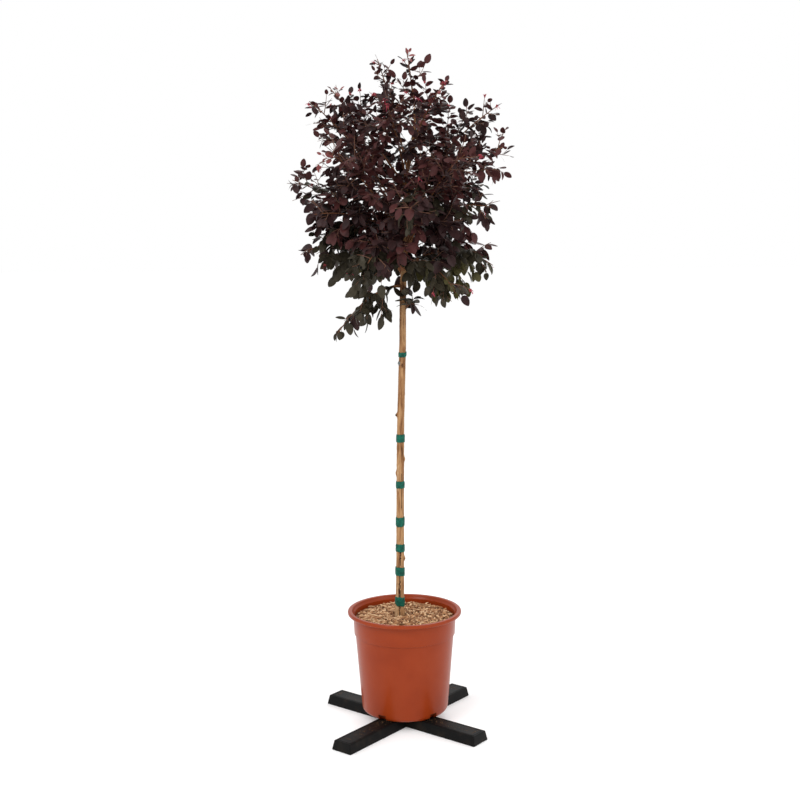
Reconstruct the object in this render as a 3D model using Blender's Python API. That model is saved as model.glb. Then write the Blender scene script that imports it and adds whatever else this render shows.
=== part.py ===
"""Chinese fringe flower trained as a small standard tree, in a nursery pot on a cross stand.

The plant has one clear stem, tied with bands, and an open round head of arching shoots.
Metres, +Z up. X runs to the right and Y to the back. The origin is on the floor, under the pot's axis.
"""

import math
import random
from collections import namedtuple

import bmesh
import bpy
import numpy as np
from mathutils import Vector, noise
from mathutils.bvhtree import BVHTree
from mathutils.geometry import area_tri

# Gap between neighbouring pieces
CLEAR = 0.0003

# Cross stand: two crossing bars, halved where they meet
STAND_CENTRE = (-0.0025, -0.0350)
BAR_LENGTH_LOWER = 0.5440
BAR_LENGTH_UPPER = 0.5230
BAR_WIDTH = 0.0660
BAR_HEIGHT = 0.0263
BAR_ANGLE = math.radians(51.9)
SIDE_SLOPE = 0.0055
END_SLOPE = 0.0045
BAR_EDGE = 0.0020

# Nursery pot, as radii and heights
ROUND_STEPS = 32
POT_BASE_Z = BAR_HEIGHT + CLEAR
POT_BASE_RADIUS = 0.1206
POT_CORNER = 0.0130
POT_WALL = 0.0028
SKIRT_INSIDE = 0.1010
FLOOR_RISE = 0.0100
FLOOR_THICK = 0.0030
COLLAR_Z = 0.2474
WALL_TOP_RADIUS = 0.1388
COLLAR_RADIUS = 0.1421
COLLAR_TOP_RADIUS = 0.1446
LIP_Z = 0.3030
RIM_Z = 0.3136
RIM_RADIUS = 0.1600
RIM_INSIDE = 0.1468
RIM_ROUND = 0.0030
DRAIN_COUNT = 5
DRAIN_WIDTH = 0.0250
DRAIN_HEIGHT = 0.0165
DRAIN_DEPTH = 0.0240
DRAIN_FIRST = math.radians(-122.0)

# Compost and chip mulch
COMPOST_Z = 0.2780
MULCH_EDGE_Z = 0.2915
MULCH_HEAP = 0.0065
MULCH_LUMPS = 0.0030
MULCH_RINGS = 5
MULCH_COARSE = 28.0
MULCH_FINE = 61.0
MULCH_FINE_SHARE = 0.6
MULCH_EDGE_DROP = 0.004

# Trunk: bends as height, x and y, and radii
TRUNK_BENDS = (
    (0.278, -0.0135, 0.000),
    (0.450, -0.0112, 0.003),
    (0.620, -0.0098, -0.002),
    (0.850, -0.0066, 0.004),
    (1.060, 0.0000, 0.000),
    (1.200, 0.0020, -0.003),
    (1.400, 0.0100, 0.002),
    (1.550, 0.0180, 0.006),
    (1.645, 0.0362, 0.002),
    (1.720, 0.0352, -0.003),
)
TRUNK_FOOT_Z = COMPOST_Z + CLEAR
TRUNK_HEAD_Z = 1.2200
TRUNK_TIP_Z = 1.7000
TRUNK_FOOT_RADIUS = 0.0118
TRUNK_HEAD_RADIUS = 0.0088
TRUNK_TIP_RADIUS = 0.0022
FLARE_RADIUS = 0.0060
FLARE_HEIGHT = 0.0220
TRUNK_SIDES = 10
TRUNK_RINGS = 22
SLEEVE_REACH = 0.15

# Tie bands round the trunk: middle height and width
BANDS = (
    (0.3364, 0.0266),
    (0.4233, 0.0248),
    (0.4903, 0.0226),
    (0.5660, 0.0272),
    (0.6707, 0.0204),
    (0.8004, 0.0228),
    (1.0343, 0.0134),
)
BAND_THICK = 0.0014

# Crown outline: how far leaves may reach from the upright axis, by height
OUTLINE = (
    (1.050, 0.215),
    (1.200, 0.225),
    (1.270, 0.275),
    (1.310, 0.300),
    (1.400, 0.285),
    (1.500, 0.315),
    (1.600, 0.310),
    (1.700, 0.295),
    (1.750, 0.275),
    (1.790, 0.240),
    (1.820, 0.140),
    (1.852, 0.100),
    (1.856, 0.000),
)

# Crown: each mass has a limb from the trunk to its furthest tip
# azimuth in degrees (0 right, 90 back, 180 left, 270 front), reach and height of the tip,
# height of the fork on the trunk, rise of the limb's arch, half width of the mass, bend of its twigs
Mass = namedtuple("Mass", "name azimuth reach height fork arch spread bend")
MASSES = (
    Mass("top", 330.0, 0.020, 1.845, 1.700, 0.010, 0.110, 0.30),
    Mass("leader_left", 143.0, 0.083, 1.846, 1.535, 0.030, 0.110, 0.25),
    Mass("leader_right", 322.7, 0.148, 1.760, 1.600, 0.020, 0.100, 0.20),
    Mass("high_left", 189.0, 0.254, 1.721, 1.395, 0.060, 0.125, 0.15),
    Mass("high_back_left", 147.3, 0.241, 1.777, 1.485, 0.020, 0.125, 0.20),
    Mass("high_back_right", 66.0, 0.225, 1.755, 1.520, 0.030, 0.130, 0.20),
    Mass("high_right", 12.5, 0.278, 1.716, 1.460, 0.040, 0.125, 0.15),
    Mass("high_front", 258.0, 0.210, 1.700, 1.500, 0.050, 0.135, 0.15),
    Mass("mid_left", 176.3, 0.306, 1.518, 1.255, 0.080, 0.140, 0.05),
    Mass("mid_back_left", 122.0, 0.290, 1.580, 1.370, 0.070, 0.150, 0.05),
    Mass("mid_back_right", 56.0, 0.285, 1.560, 1.315, 0.080, 0.150, 0.05),
    Mass("mid_right", 354.0, 0.284, 1.598, 1.345, 0.080, 0.140, 0.05),
    Mass("mid_front_right", 305.0, 0.285, 1.560, 1.295, 0.080, 0.150, 0.05),
    Mass("mid_front_left", 228.0, 0.290, 1.570, 1.330, 0.080, 0.150, 0.05),
    Mass("inner_left", 204.0, 0.262, 1.415, 1.352, 0.050, 0.130, -0.05),
    Mass("inner_right", 337.0, 0.268, 1.430, 1.382, 0.050, 0.130, -0.05),
    Mass("inner_front", 275.0, 0.280, 1.420, 1.362, 0.050, 0.140, -0.05),
    Mass("inner_back", 90.0, 0.280, 1.420, 1.345, 0.050, 0.150, -0.05),
    Mass("low_left", 184.0, 0.285, 1.308, 1.305, 0.080, 0.120, -0.20),
    Mass("low_back_left", 130.0, 0.270, 1.300, 1.278, 0.080, 0.140, -0.20),
    Mass("low_back_right", 56.0, 0.270, 1.290, 1.242, 0.090, 0.140, -0.20),
    Mass("low_right", 4.4, 0.262, 1.276, 1.270, 0.090, 0.120, -0.20),
    Mass("low_front_right", 318.0, 0.200, 1.203, 1.232, 0.110, 0.120, -0.25),
    Mass("low_front", 248.0, 0.245, 1.285, 1.262, 0.090, 0.140, -0.20),
    Mass("hanging_left", 197.7, 0.197, 1.084, 1.222, 0.070, 0.070, -0.25),
    Mass("side_shoot", 342.7, 0.040, 1.195, 1.150, 0.000, 0.045, 0.00),
)
ON_TRUNK = ("top", "inner_left", "inner_right", "inner_front", "inner_back", "side_shoot")
ENTER = 0.22
STEM_GAP = 0.0006
END_SHOOT = 0.028
BOUGH_ROOT_SHARE = 0.62
BOUGH_ROOT_LIMIT = 0.0055
STEM_RADIUS = 0.0028
STEM_TIP_RADIUS = 0.0014
BOUGH_SIDES = 6
BOUGH_RINGS = 5
STEM_SIDES = 4
STEM_RINGS = 4

# Twigs and leaves
SEED = 41
TWIG_GAP = 0.034
FIRST_TWIG = 0.08
TWIG_TURN = math.radians(137.5)
TWIG_ANGLE = math.radians(58.0)
TWIG_TAPER = 0.55
TWIG_RADIUS = 0.0020
TWIG_TIP_RADIUS = 0.0013
TWIG_SIDES = 3
TWIG_SHORTEST = 0.022
LEAF_GAP = 0.034
LEAF_LENGTH = 0.070
LEAF_WIDTH = 0.046
LEAF_THICK = 0.0018
LEAF_KEEL = 0.14
LEAF_WIDEST = 0.54
LEAF_BLUNT = 0.50
LEAF_SINK = 0.35
LEAF_ANGLE = math.radians(52.0)
TIP_SHRINK = 0.40
SPACE_MARGIN = 0.0025
LIMB_MARGIN = 0.0020
BLOSSOM_EVERY = 6
BLOSSOM_SIZE = 0.0070
SMALLEST_ISLAND = 30
TOUCH = 0.000004
NECK_AREA = 0.00000002
ATTEMPTS = 3
SLIM_RATIOS = (0.65, 0.68, 0.71, 0.74, 0.77, 0.80, 0.84, 0.88, 0.93)

COLOURS = {
    "stand": (0.012, 0.012, 0.013),
    "pot": (0.33, 0.070, 0.022),
    "compost": (0.030, 0.018, 0.011),
    "mulch": (0.47, 0.29, 0.15),
    "bark": (0.30, 0.17, 0.085),
    "band": (0.030, 0.16, 0.13),
    "foliage": (0.045, 0.020, 0.022),
}


def clear_scene():
    for thing in list(bpy.data.objects):
        bpy.data.objects.remove(thing)


def material(name, colour, roughness):
    finish = bpy.data.materials.new(name)
    finish.use_nodes = True
    shader = finish.node_tree.nodes["Principled BSDF"]
    shader.inputs["Base Color"].default_value = (*colour, 1.0)
    shader.inputs["Roughness"].default_value = roughness
    shader.inputs["Metallic"].default_value = 0.0
    return finish


def new_object(name, points, faces, finish=None):
    mesh = bpy.data.meshes.new(name)
    mesh.from_pydata([tuple(p) for p in points], [], faces)
    shape = bmesh.new()
    shape.from_mesh(mesh)
    bmesh.ops.recalc_face_normals(shape, faces=shape.faces)
    shape.to_mesh(mesh)
    shape.free()
    thing = bpy.data.objects.new(name, mesh)
    bpy.context.scene.collection.objects.link(thing)
    if finish is not None:
        mesh.materials.append(finish)
    return thing


def smooth_round(thing, degrees):
    thing.data.shade_smooth()
    thing.data.set_sharp_from_angle(angle=math.radians(degrees))


def apply_modifiers(thing):
    graph = bpy.context.evaluated_depsgraph_get()
    mesh = bpy.data.meshes.new_from_object(thing.evaluated_get(graph))
    thing.modifiers.clear()
    thing.data = mesh


def cut(thing, cutter):
    modifier = thing.modifiers.new("cut", "BOOLEAN")
    modifier.operation = "DIFFERENCE"
    modifier.solver = "EXACT"
    modifier.object = cutter
    apply_modifiers(thing)
    bpy.data.objects.remove(cutter)


def bar_block(name, length, angle, low, high, grow):
    """A bar with sloping sides and ends, from height low to height high, grown sideways by grow."""
    along = Vector((math.cos(angle), math.sin(angle), 0.0))
    across = Vector((-along.y, along.x, 0.0))
    centre = Vector((*STAND_CENTRE, 0.0))
    points = []
    for z in (low, high):
        share = z / BAR_HEIGHT
        half_length = length / 2 - END_SLOPE * share + grow
        half_width = BAR_WIDTH / 2 - SIDE_SLOPE * share + grow
        for a, b in ((-1, -1), (1, -1), (1, 1), (-1, 1)):
            points.append(centre + along * a * half_length + across * b * half_width + Vector((0, 0, z)))
    faces = [(0, 1, 2, 3), (7, 6, 5, 4), (0, 4, 5, 1), (1, 5, 6, 2), (2, 6, 7, 3), (3, 7, 4, 0)]
    return new_object(name, points, faces)


def make_stand(finish):
    beyond = 0.004
    half = BAR_HEIGHT / 2
    crossing = BAR_ANGLE + math.pi / 2
    bars = (
        ("stand_bar_lower", BAR_LENGTH_LOWER, BAR_ANGLE, BAR_LENGTH_UPPER, crossing, (half, BAR_HEIGHT + beyond)),
        ("stand_bar_upper", BAR_LENGTH_UPPER, crossing, BAR_LENGTH_LOWER, BAR_ANGLE, (-beyond, half + CLEAR)),
    )
    for name, length, angle, other_length, other_angle, (low, high) in bars:
        bar = bar_block(name, length, angle, 0.0, BAR_HEIGHT, 0.0)
        bevel = bar.modifiers.new("edge", "BEVEL")
        bevel.width = BAR_EDGE
        bevel.segments = 2
        bevel.limit_method = "ANGLE"
        apply_modifiers(bar)
        cut(bar, bar_block("cutter", other_length, other_angle, low, high, CLEAR))
        bar.data.materials.clear()
        bar.data.materials.append(finish)
        smooth_round(bar, 30)


def turned(name, profile, finish):
    """A turned solid. The profile runs from the axis round the section and back to the axis."""
    points = []
    rings = []
    for radius, height in profile:
        if radius == 0.0:
            rings.append([len(points)] * ROUND_STEPS)
            points.append((0.0, 0.0, height))
            continue
        rings.append([len(points) + k for k in range(ROUND_STEPS)])
        for k in range(ROUND_STEPS):
            turn = 2 * math.pi * k / ROUND_STEPS
            points.append((radius * math.cos(turn), radius * math.sin(turn), height))
    return new_object(name, points, ring_faces(rings), finish)


def ring_faces(rings):
    faces = []
    for low, high in zip(rings, rings[1:]):
        for k in range(len(low)):
            j = (k + 1) % len(low)
            corner = [low[k], low[j], high[j], high[k]]
            face = tuple(dict.fromkeys(corner))
            if len(face) > 2:
                faces.append(face)
    return faces


def wall_radius(z):
    share = (z - BAR_HEIGHT) / (COLLAR_Z - BAR_HEIGHT)
    return POT_BASE_RADIUS + (WALL_TOP_RADIUS - POT_BASE_RADIUS) * share


def inside_profile():
    """The pot's inner wall from the lip's inner edge down to the floor."""
    floor_z = POT_BASE_Z + FLOOR_RISE + FLOOR_THICK
    shoulder_z = COLLAR_Z - POT_WALL
    return [
        (RIM_INSIDE, RIM_Z - RIM_ROUND),
        (COLLAR_TOP_RADIUS - POT_WALL, LIP_Z),
        (COLLAR_RADIUS - POT_WALL, COLLAR_Z),
        (wall_radius(shoulder_z) - POT_WALL, shoulder_z),
        (wall_radius(floor_z) - POT_WALL, floor_z),
    ]


def inside_radius(z):
    profile = inside_profile()[::-1]
    return float(np.interp(z, [p[1] for p in profile], [p[0] for p in profile]))


def pot_profile():
    corner_x = wall_radius(POT_BASE_Z + POT_CORNER) - POT_CORNER
    profile = [
        (0.0, POT_BASE_Z + FLOOR_RISE),
        (SKIRT_INSIDE - POT_WALL, POT_BASE_Z + FLOOR_RISE),
        (SKIRT_INSIDE, POT_BASE_Z),
    ]
    for step in range(4):
        turn = math.pi / 2 * step / 3
        x = corner_x + POT_CORNER * math.sin(turn)
        profile.append((x, POT_BASE_Z + POT_CORNER * (1 - math.cos(turn))))
    profile += [
        (WALL_TOP_RADIUS, COLLAR_Z - CLEAR),
        (COLLAR_RADIUS, COLLAR_Z),
        (COLLAR_TOP_RADIUS, LIP_Z),
        (RIM_RADIUS - RIM_ROUND, LIP_Z),
        (RIM_RADIUS, LIP_Z + RIM_ROUND),
        (RIM_RADIUS, RIM_Z - RIM_ROUND),
        (RIM_RADIUS - RIM_ROUND, RIM_Z),
        (RIM_INSIDE + RIM_ROUND, RIM_Z),
    ]
    return profile + inside_profile() + [(0.0, POT_BASE_Z + FLOOR_RISE + FLOOR_THICK)]


def make_pot(finish):
    pot = turned("pot", pot_profile(), finish)
    for k in range(DRAIN_COUNT):
        turn = DRAIN_FIRST + 2 * math.pi * k / DRAIN_COUNT
        bpy.ops.mesh.primitive_cube_add(size=1.0)
        drain = bpy.context.active_object
        middle = wall_radius(POT_BASE_Z) - DRAIN_DEPTH / 4
        for corner in drain.data.vertices:
            corner.co.x = corner.co.x * DRAIN_DEPTH + middle
            corner.co.y *= DRAIN_WIDTH
            corner.co.z = POT_BASE_Z + (DRAIN_HEIGHT if corner.co.z > 0 else -POT_CORNER)
        drain.rotation_euler.z = turn
        bpy.context.view_layer.update()
        cut(pot, drain)
    smooth_round(pot, 35)


def make_compost(finish):
    floor_z = POT_BASE_Z + FLOOR_RISE + FLOOR_THICK + CLEAR
    heights = (floor_z, COLLAR_Z - POT_WALL, COLLAR_Z, COMPOST_Z)
    profile = [(0.0, floor_z)]
    profile += [(inside_radius(z) - CLEAR, z) for z in heights]
    profile += [(0.0, COMPOST_Z)]
    turned("compost", profile, finish)


def mulch_height(x, y):
    radius = math.hypot(x, y)
    heap = MULCH_HEAP * (1 - (radius / RIM_INSIDE) ** 2)
    coarse = noise.noise(Vector((x, y, 0.0)) * MULCH_COARSE)
    fine = noise.noise(Vector((x, y, 5.0)) * MULCH_FINE)
    return MULCH_EDGE_Z + heap + MULCH_LUMPS * (coarse + MULCH_FINE_SHARE * fine)


def make_mulch(finish):
    """A ring of chips round the trunk's foot, flat below and lumpy on top."""
    foot = trunk_centre(MULCH_EDGE_Z)
    hole = trunk_radius(TRUNK_FOOT_Z) + CLEAR * 2
    low = COMPOST_Z + CLEAR
    edge_top = inside_radius(MULCH_EDGE_Z - MULCH_EDGE_DROP) - CLEAR * 3
    edge_low = inside_radius(low) - CLEAR
    points = []
    for share in np.linspace(0.0, 1.0, MULCH_RINGS + 1):
        for turn in np.linspace(0.0, 2 * math.pi, ROUND_STEPS, endpoint=False):
            way = Vector((math.cos(turn), math.sin(turn)))
            spot = (foot.to_2d() + way * hole).lerp(way * edge_top, float(share))
            points.append((spot.x, spot.y, mulch_height(spot.x, spot.y)))
    for centre, radius in ((Vector((0.0, 0.0)), edge_low), (foot.to_2d(), hole)):
        for turn in np.linspace(0.0, 2 * math.pi, ROUND_STEPS, endpoint=False):
            points.append((centre.x + radius * math.cos(turn), centre.y + radius * math.sin(turn), low))
    rings = [[row * ROUND_STEPS + k for k in range(ROUND_STEPS)] for row in range(MULCH_RINGS + 3)]
    new_object("mulch", points, ring_faces(rings + [rings[0]]), finish)


def trunk_centre(z):
    """A smooth curve through the trunk's bends."""
    bends = np.array(TRUNK_BENDS)
    heights = bends[:, 0]
    slopes = np.gradient(bends[:, 1:], heights, axis=0)
    z = min(max(z, heights[0]), heights[-1])
    k = min(int(np.searchsorted(heights, z, side="right")) - 1, len(heights) - 2)
    gap = heights[k + 1] - heights[k]
    t = (z - heights[k]) / gap
    start = bends[k, 1:] * (1 + 2 * t) * (1 - t) ** 2 + slopes[k] * gap * t * (1 - t) ** 2
    end = bends[k + 1, 1:] * t * t * (3 - 2 * t) - slopes[k + 1] * gap * t * t * (1 - t)
    x, y = start + end
    return Vector((float(x), float(y), z))


def trunk_radius(z):
    heights = (TRUNK_FOOT_Z, TRUNK_HEAD_Z, TRUNK_TIP_Z)
    radii = (TRUNK_FOOT_RADIUS, TRUNK_HEAD_RADIUS, TRUNK_TIP_RADIUS)
    flare = FLARE_RADIUS * math.exp(-(z - TRUNK_FOOT_Z) / FLARE_HEIGHT)
    return float(np.interp(z, heights, radii)) + flare


def tube(name, path, radii, sides, finish=None):
    """A closed tapering tube along a path, with flat ends square to it."""
    points = []
    rings = []
    side = None
    for k, (spot, radius) in enumerate(zip(path, radii)):
        ahead = path[min(k + 1, len(path) - 1)]
        behind = path[max(k - 1, 0)]
        along = (ahead - behind).normalized()
        if side is None:
            side = along.orthogonal().normalized()
        side = (side - along * side.dot(along)).normalized()
        across = along.cross(side)
        rings.append([len(points) + j for j in range(sides)])
        for j in range(sides):
            turn = 2 * math.pi * j / sides
            points.append(spot + (side * math.cos(turn) + across * math.sin(turn)) * radius)
    faces = ring_faces(rings) + [tuple(rings[0][::-1]), tuple(rings[-1])]
    return new_object(name, points, faces, finish)


def trunk_heights():
    """The trunk's rings: close at the flare, one at each edge of a band, and even above."""
    foot = [TRUNK_FOOT_Z + FLARE_HEIGHT * k / 3 for k in range(4)]
    edges = [middle + side * width / 2 for middle, width in BANDS for side in (-1, 1)]
    even = np.linspace(foot[-1], TRUNK_TIP_Z, TRUNK_RINGS)[1:]
    clear = [float(z) for z in even if all(abs(z - middle) > width for middle, width in BANDS)]
    return sorted(foot + edges + clear)


def level_rings(heights, grow):
    """Level rings round the trunk's centre line."""
    points = []
    rings = []
    for z in heights:
        centre = trunk_centre(z)
        radius = trunk_radius(z) + grow
        rings.append([len(points) + k for k in range(TRUNK_SIDES)])
        for k in range(TRUNK_SIDES):
            turn = 2 * math.pi * k / TRUNK_SIDES
            points.append((centre.x + radius * math.cos(turn), centre.y + radius * math.sin(turn), z))
    return points, rings


def make_trunk(finish):
    points, rings = level_rings(trunk_heights(), 0.0)
    faces = ring_faces(rings) + [tuple(rings[0][::-1]), tuple(rings[-1])]
    trunk = new_object("trunk", points, faces, finish)
    smooth_round(trunk, 50)


def make_bands(finish):
    for number, (middle, width) in enumerate(BANDS, start=1):
        heights = (middle - width / 2, middle + width / 2)
        inner, _ = level_rings(heights, CLEAR * 1.5)
        outer, _ = level_rings(heights[::-1], CLEAR * 1.5 + BAND_THICK)
        points = inner + outer
        rings = [[row * TRUNK_SIDES + k for k in range(TRUNK_SIDES)] for row in range(4)]
        band = new_object(f"band_{number}", points, ring_faces(rings + [rings[0]]), finish)
        smooth_round(band, 50)


def tip_of(mass):
    """The end of a mass's stem, short of its furthest tip by the leaf that ends it."""
    turn = math.radians(mass.azimuth)
    tip = Vector((mass.reach * math.cos(turn), mass.reach * math.sin(turn), mass.height))
    start = trunk_centre(mass.fork)
    return tip + (start - tip).normalized() * min(END_SHOOT, (start - tip).length / 2)


def limb_point(mass, t):
    """A point on the arching limb that runs from the trunk, through the bough, to the mass's tip."""
    start = trunk_centre(mass.fork)
    tip = tip_of(mass)
    middle = start.lerp(tip, 0.5) + Vector((0, 0, mass.arch))
    return start * (1 - t) ** 2 + middle * 2 * t * (1 - t) + tip * t * t


def stem_start(mass):
    """Where along the limb the mass's own stem begins, clear of the bough or trunk before it."""
    if mass.name in ON_TRUNK:
        return 0.0
    length = (limb_point(mass, 1.0) - limb_point(mass, 0.0)).length
    return ENTER + STEM_GAP / length


def stem_path(mass):
    return [limb_point(mass, float(t)) for t in np.linspace(stem_start(mass), 1.0, STEM_RINGS + 1)]


def trunk_sleeve(mass):
    """The trunk near a fork, grown by the gap that its neighbours keep to it."""
    heights = [z for z in trunk_heights() if abs(z - mass.fork) < SLEEVE_REACH]
    heights[-1] += CLEAR
    points, rings = level_rings(heights, CLEAR)
    faces = ring_faces(rings) + [tuple(rings[0][::-1]), tuple(rings[-1])]
    return new_object("sleeve", points, faces)


def bough_path(mass):
    return [limb_point(mass, float(t)) for t in np.linspace(0.0, ENTER, BOUGH_RINGS)]


def bough_radii(mass):
    root = min(trunk_radius(mass.fork) * BOUGH_ROOT_SHARE, BOUGH_ROOT_LIMIT)
    return [float(r) for r in np.linspace(root, STEM_RADIUS, BOUGH_RINGS)]


def make_boughs(finish):
    for mass in MASSES:
        if mass.name in ON_TRUNK:
            continue
        bough = tube("bough_" + mass.name, bough_path(mass), bough_radii(mass), BOUGH_SIDES, finish)
        cut(bough, trunk_sleeve(mass))
        smooth_round(bough, 50)


def segments(path):
    return np.array([tuple(p) for p in path[:-1]]), np.array([tuple(p) for p in path[1:]])


def distance_to(path, spots):
    """Distance of each spot to the nearest stretch of a path."""
    starts, ends = segments(path)
    along = ends - starts
    away = spots[:, None, :] - starts[None]
    share = np.clip((away * along).sum(-1) / (along * along).sum(-1), 0.0, 1.0)
    nearest = starts[None] + along[None] * share[..., None]
    return np.linalg.norm(spots[:, None, :] - nearest, axis=-1).min(axis=1)


class Space:
    """What is free for each mass: nearer to its own stem than to any other, and clear of the limbs."""

    def __init__(self):
        self.stems = {mass.name: stem_path(mass) for mass in MASSES}
        self.limbs = [(stem_path(mass), STEM_RADIUS, mass.name) for mass in MASSES]
        for mass in MASSES:
            if mass.name not in ON_TRUNK:
                self.limbs.append((bough_path(mass), max(bough_radii(mass)), None))
        for low, high in zip(trunk_heights(), trunk_heights()[1:]):
            self.limbs.append(([trunk_centre(low), trunk_centre(high)], trunk_radius(low), None))
        self.grown = []
        for thing in bpy.data.objects:
            if thing.name == "trunk" or thing.name.startswith("bough_"):
                self.add(thing)

    def add(self, thing):
        """Note a finished piece, so that later ones keep off it."""
        points = [corner.co.copy() for corner in thing.data.vertices]
        faces = [tuple(face.vertices) for face in thing.data.polygons]
        self.grown.append(BVHTree.FromPolygons(points, faces))

    def free(self, mass, spots, reach):
        spots = np.array([tuple(p) for p in spots])
        heights, radii = zip(*OUTLINE)
        if (np.hypot(spots[:, 0], spots[:, 1]) > np.interp(spots[:, 2], heights, radii)).any():
            return False
        own = distance_to(self.stems[mass.name], spots)
        if (own > reach).any():
            return False
        for name, path in self.stems.items():
            if name != mass.name and (distance_to(path, spots) < own + SPACE_MARGIN).any():
                return False
        for path, radius, owner in self.limbs:
            if owner != mass.name and (distance_to(path, spots) < radius + LIMB_MARGIN).any():
                return False
        return True

    def touches(self, points, faces):
        """Whether a piece, grown a little, would touch a mass that is already there."""
        middle = sum(points, Vector()) / len(points)
        grown = [middle + (p - middle) * 1.06 for p in points]
        tree = BVHTree.FromPolygons(grown, faces)
        return any(tree.overlap(other) for other in self.grown)


def twig_path(root, ahead, length, bend):
    """A twig that leaves its stem straight and bends up or down towards its end."""
    lift = Vector((0, 0, bend * length))
    return [root + ahead * length * t + lift * t * t for t in (0.0, 0.5, 1.0)]


def stem_frame(mass, s):
    """A place at share s along the mass's stem, with the direction of the stem there."""
    start = stem_start(mass)
    t = start + (1 - start) * s
    here = limb_point(mass, t)
    ahead = (limb_point(mass, min(t + 0.02, 1.0)) - limb_point(mass, t - 0.02)).normalized()
    return here, ahead


def grow_twigs(mass, space):
    """Twigs leave the stem in a spiral, longest near its foot and short at its tip."""
    rng = random.Random(f"{SEED} twigs {mass.name}")
    length = (tip_of(mass) - stem_path(mass)[0]).length
    count = max(3, round(length / TWIG_GAP))
    turn = rng.uniform(0, 2 * math.pi)
    twigs = []
    for k in range(count):
        s = FIRST_TWIG + (0.92 - FIRST_TWIG) * (k + rng.uniform(0.2, 0.8)) / count
        here, ahead = stem_frame(mass, s)
        side = ahead.orthogonal().normalized()
        around = side * math.cos(turn) + ahead.cross(side) * math.sin(turn)
        turn += TWIG_TURN
        angle = TWIG_ANGLE * rng.uniform(0.85, 1.1)
        outward = ahead * math.cos(angle) + around * math.sin(angle)
        full = mass.spread * (1 - TWIG_TAPER * s) * rng.uniform(0.8, 1.0)
        while full > TWIG_SHORTEST:
            path = twig_path(here, outward, full, mass.bend)
            probe = [path[0].lerp(path[1], share) for share in (0.2, 0.5, 1.0)]
            probe += [path[1].lerp(path[2], 0.5), path[2]]
            if space.free(mass, probe, mass.spread):
                twigs.append((s, path))
                break
            full *= 0.8
    return twigs


def leaf_points(root, ahead, face, length, width):
    """A blunt leaf: its root, a keel below it, two widest points and two points at its tip."""
    side = ahead.cross(face).normalized() * width / 2
    widest = root + ahead * length * LEAF_WIDEST
    tip = root + ahead * length
    keel = root + ahead * length * LEAF_KEEL - face * LEAF_THICK
    return [root, keel, widest + side, tip + side * LEAF_BLUNT, tip - side * LEAF_BLUNT, widest - side]


LEAF_FACES = [(0, 2, 5), (2, 3, 5), (3, 4, 5), (0, 1, 2), (0, 5, 1), (1, 3, 2), (1, 5, 4), (1, 4, 3)]


def leaf_probe(points):
    root, _, right, tip_right, tip_left, left = points
    tip = (tip_right + tip_left) / 2
    middle = (right + left) / 2
    corners = [right, tip_right, tip_left, left, tip, middle]
    inner = [root.lerp(p, 0.55) for p in corners]
    return corners + inner + [middle.lerp(p, 0.5) for p in (tip_right, tip_left, tip)]


def leaf_roots(mass, twigs, rng):
    """Leaves stand alternately along each twig and the outer stem, and one ends each of them."""
    rows = [(path, 0.16) for _, path in twigs]
    start = stem_start(mass)
    outer = [limb_point(mass, start + (1 - start) * s) for s in (0.25, 0.50, 0.75, 1.0)]
    rows.append((outer, 0.0))
    for path, first in rows:
        length = sum((b - a).length for a, b in zip(path, path[1:]))
        count = max(1, round(length * (1 - first) / LEAF_GAP))
        hand = rng.choice((-1, 1))
        for k in range(count + 1):
            t = first + (0.97 - first) * k / count
            place = t * (len(path) - 1)
            j = min(int(place), len(path) - 2)
            root = path[j].lerp(path[j + 1], place - j)
            ahead = (path[j + 1] - path[j]).normalized()
            hand = -hand
            yield root, ahead, 0 if k == count else hand, path is outer


def outer_share(mass, spot):
    """How far a spot lies along its mass's limb, from 0 at the trunk to 1 at the tip."""
    start = trunk_centre(mass.fork)
    tip = tip_of(mass)
    return min(max((spot - start).dot(tip - start) / (tip - start).length_squared, 0.0), 1.0)


def make_leaf(mass, root, radius, ahead, hand, rng):
    turn = rng.uniform(0, 2 * math.pi)
    tilt = rng.uniform(0.2, 1.5)
    up = Vector((tilt * math.cos(turn), tilt * math.sin(turn), 0.7)).normalized()
    side = ahead.cross(up).normalized()
    spin = rng.uniform(-0.6, 0.6)
    side = (side * math.cos(spin) + ahead.cross(side) * math.sin(spin)).normalized()
    angle = LEAF_ANGLE * abs(hand) * rng.uniform(0.8, 1.2)
    outward = (ahead * math.cos(angle) + side * hand * math.sin(angle)).normalized()
    sag = 0.35 if mass.bend < 0 else 0.12
    outward = (outward - Vector((0, 0, sag * rng.uniform(0.5, 1.5)))).normalized()
    face = (up - outward * up.dot(outward)).normalized()
    size = rng.uniform(0.85, 1.12) * (1 - TIP_SHRINK * outer_share(mass, root) ** 2)
    sunk = root - outward * LEAF_SINK * radius
    return leaf_points(sunk, outward, face, LEAF_LENGTH * size, LEAF_WIDTH * size)


def blossom_points(centre, size):
    arms = ((1, 0, 0), (0, 1, 0), (-1, 0, 0), (0, -1, 0), (0, 0, 1), (0, 0, -1))
    return [centre + Vector(arm) * size for arm in arms]


BLOSSOM_FACES = [(0, 1, 4), (1, 2, 4), (2, 3, 4), (3, 0, 4), (1, 0, 5), (2, 1, 5), (3, 2, 5), (0, 3, 5)]


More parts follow.
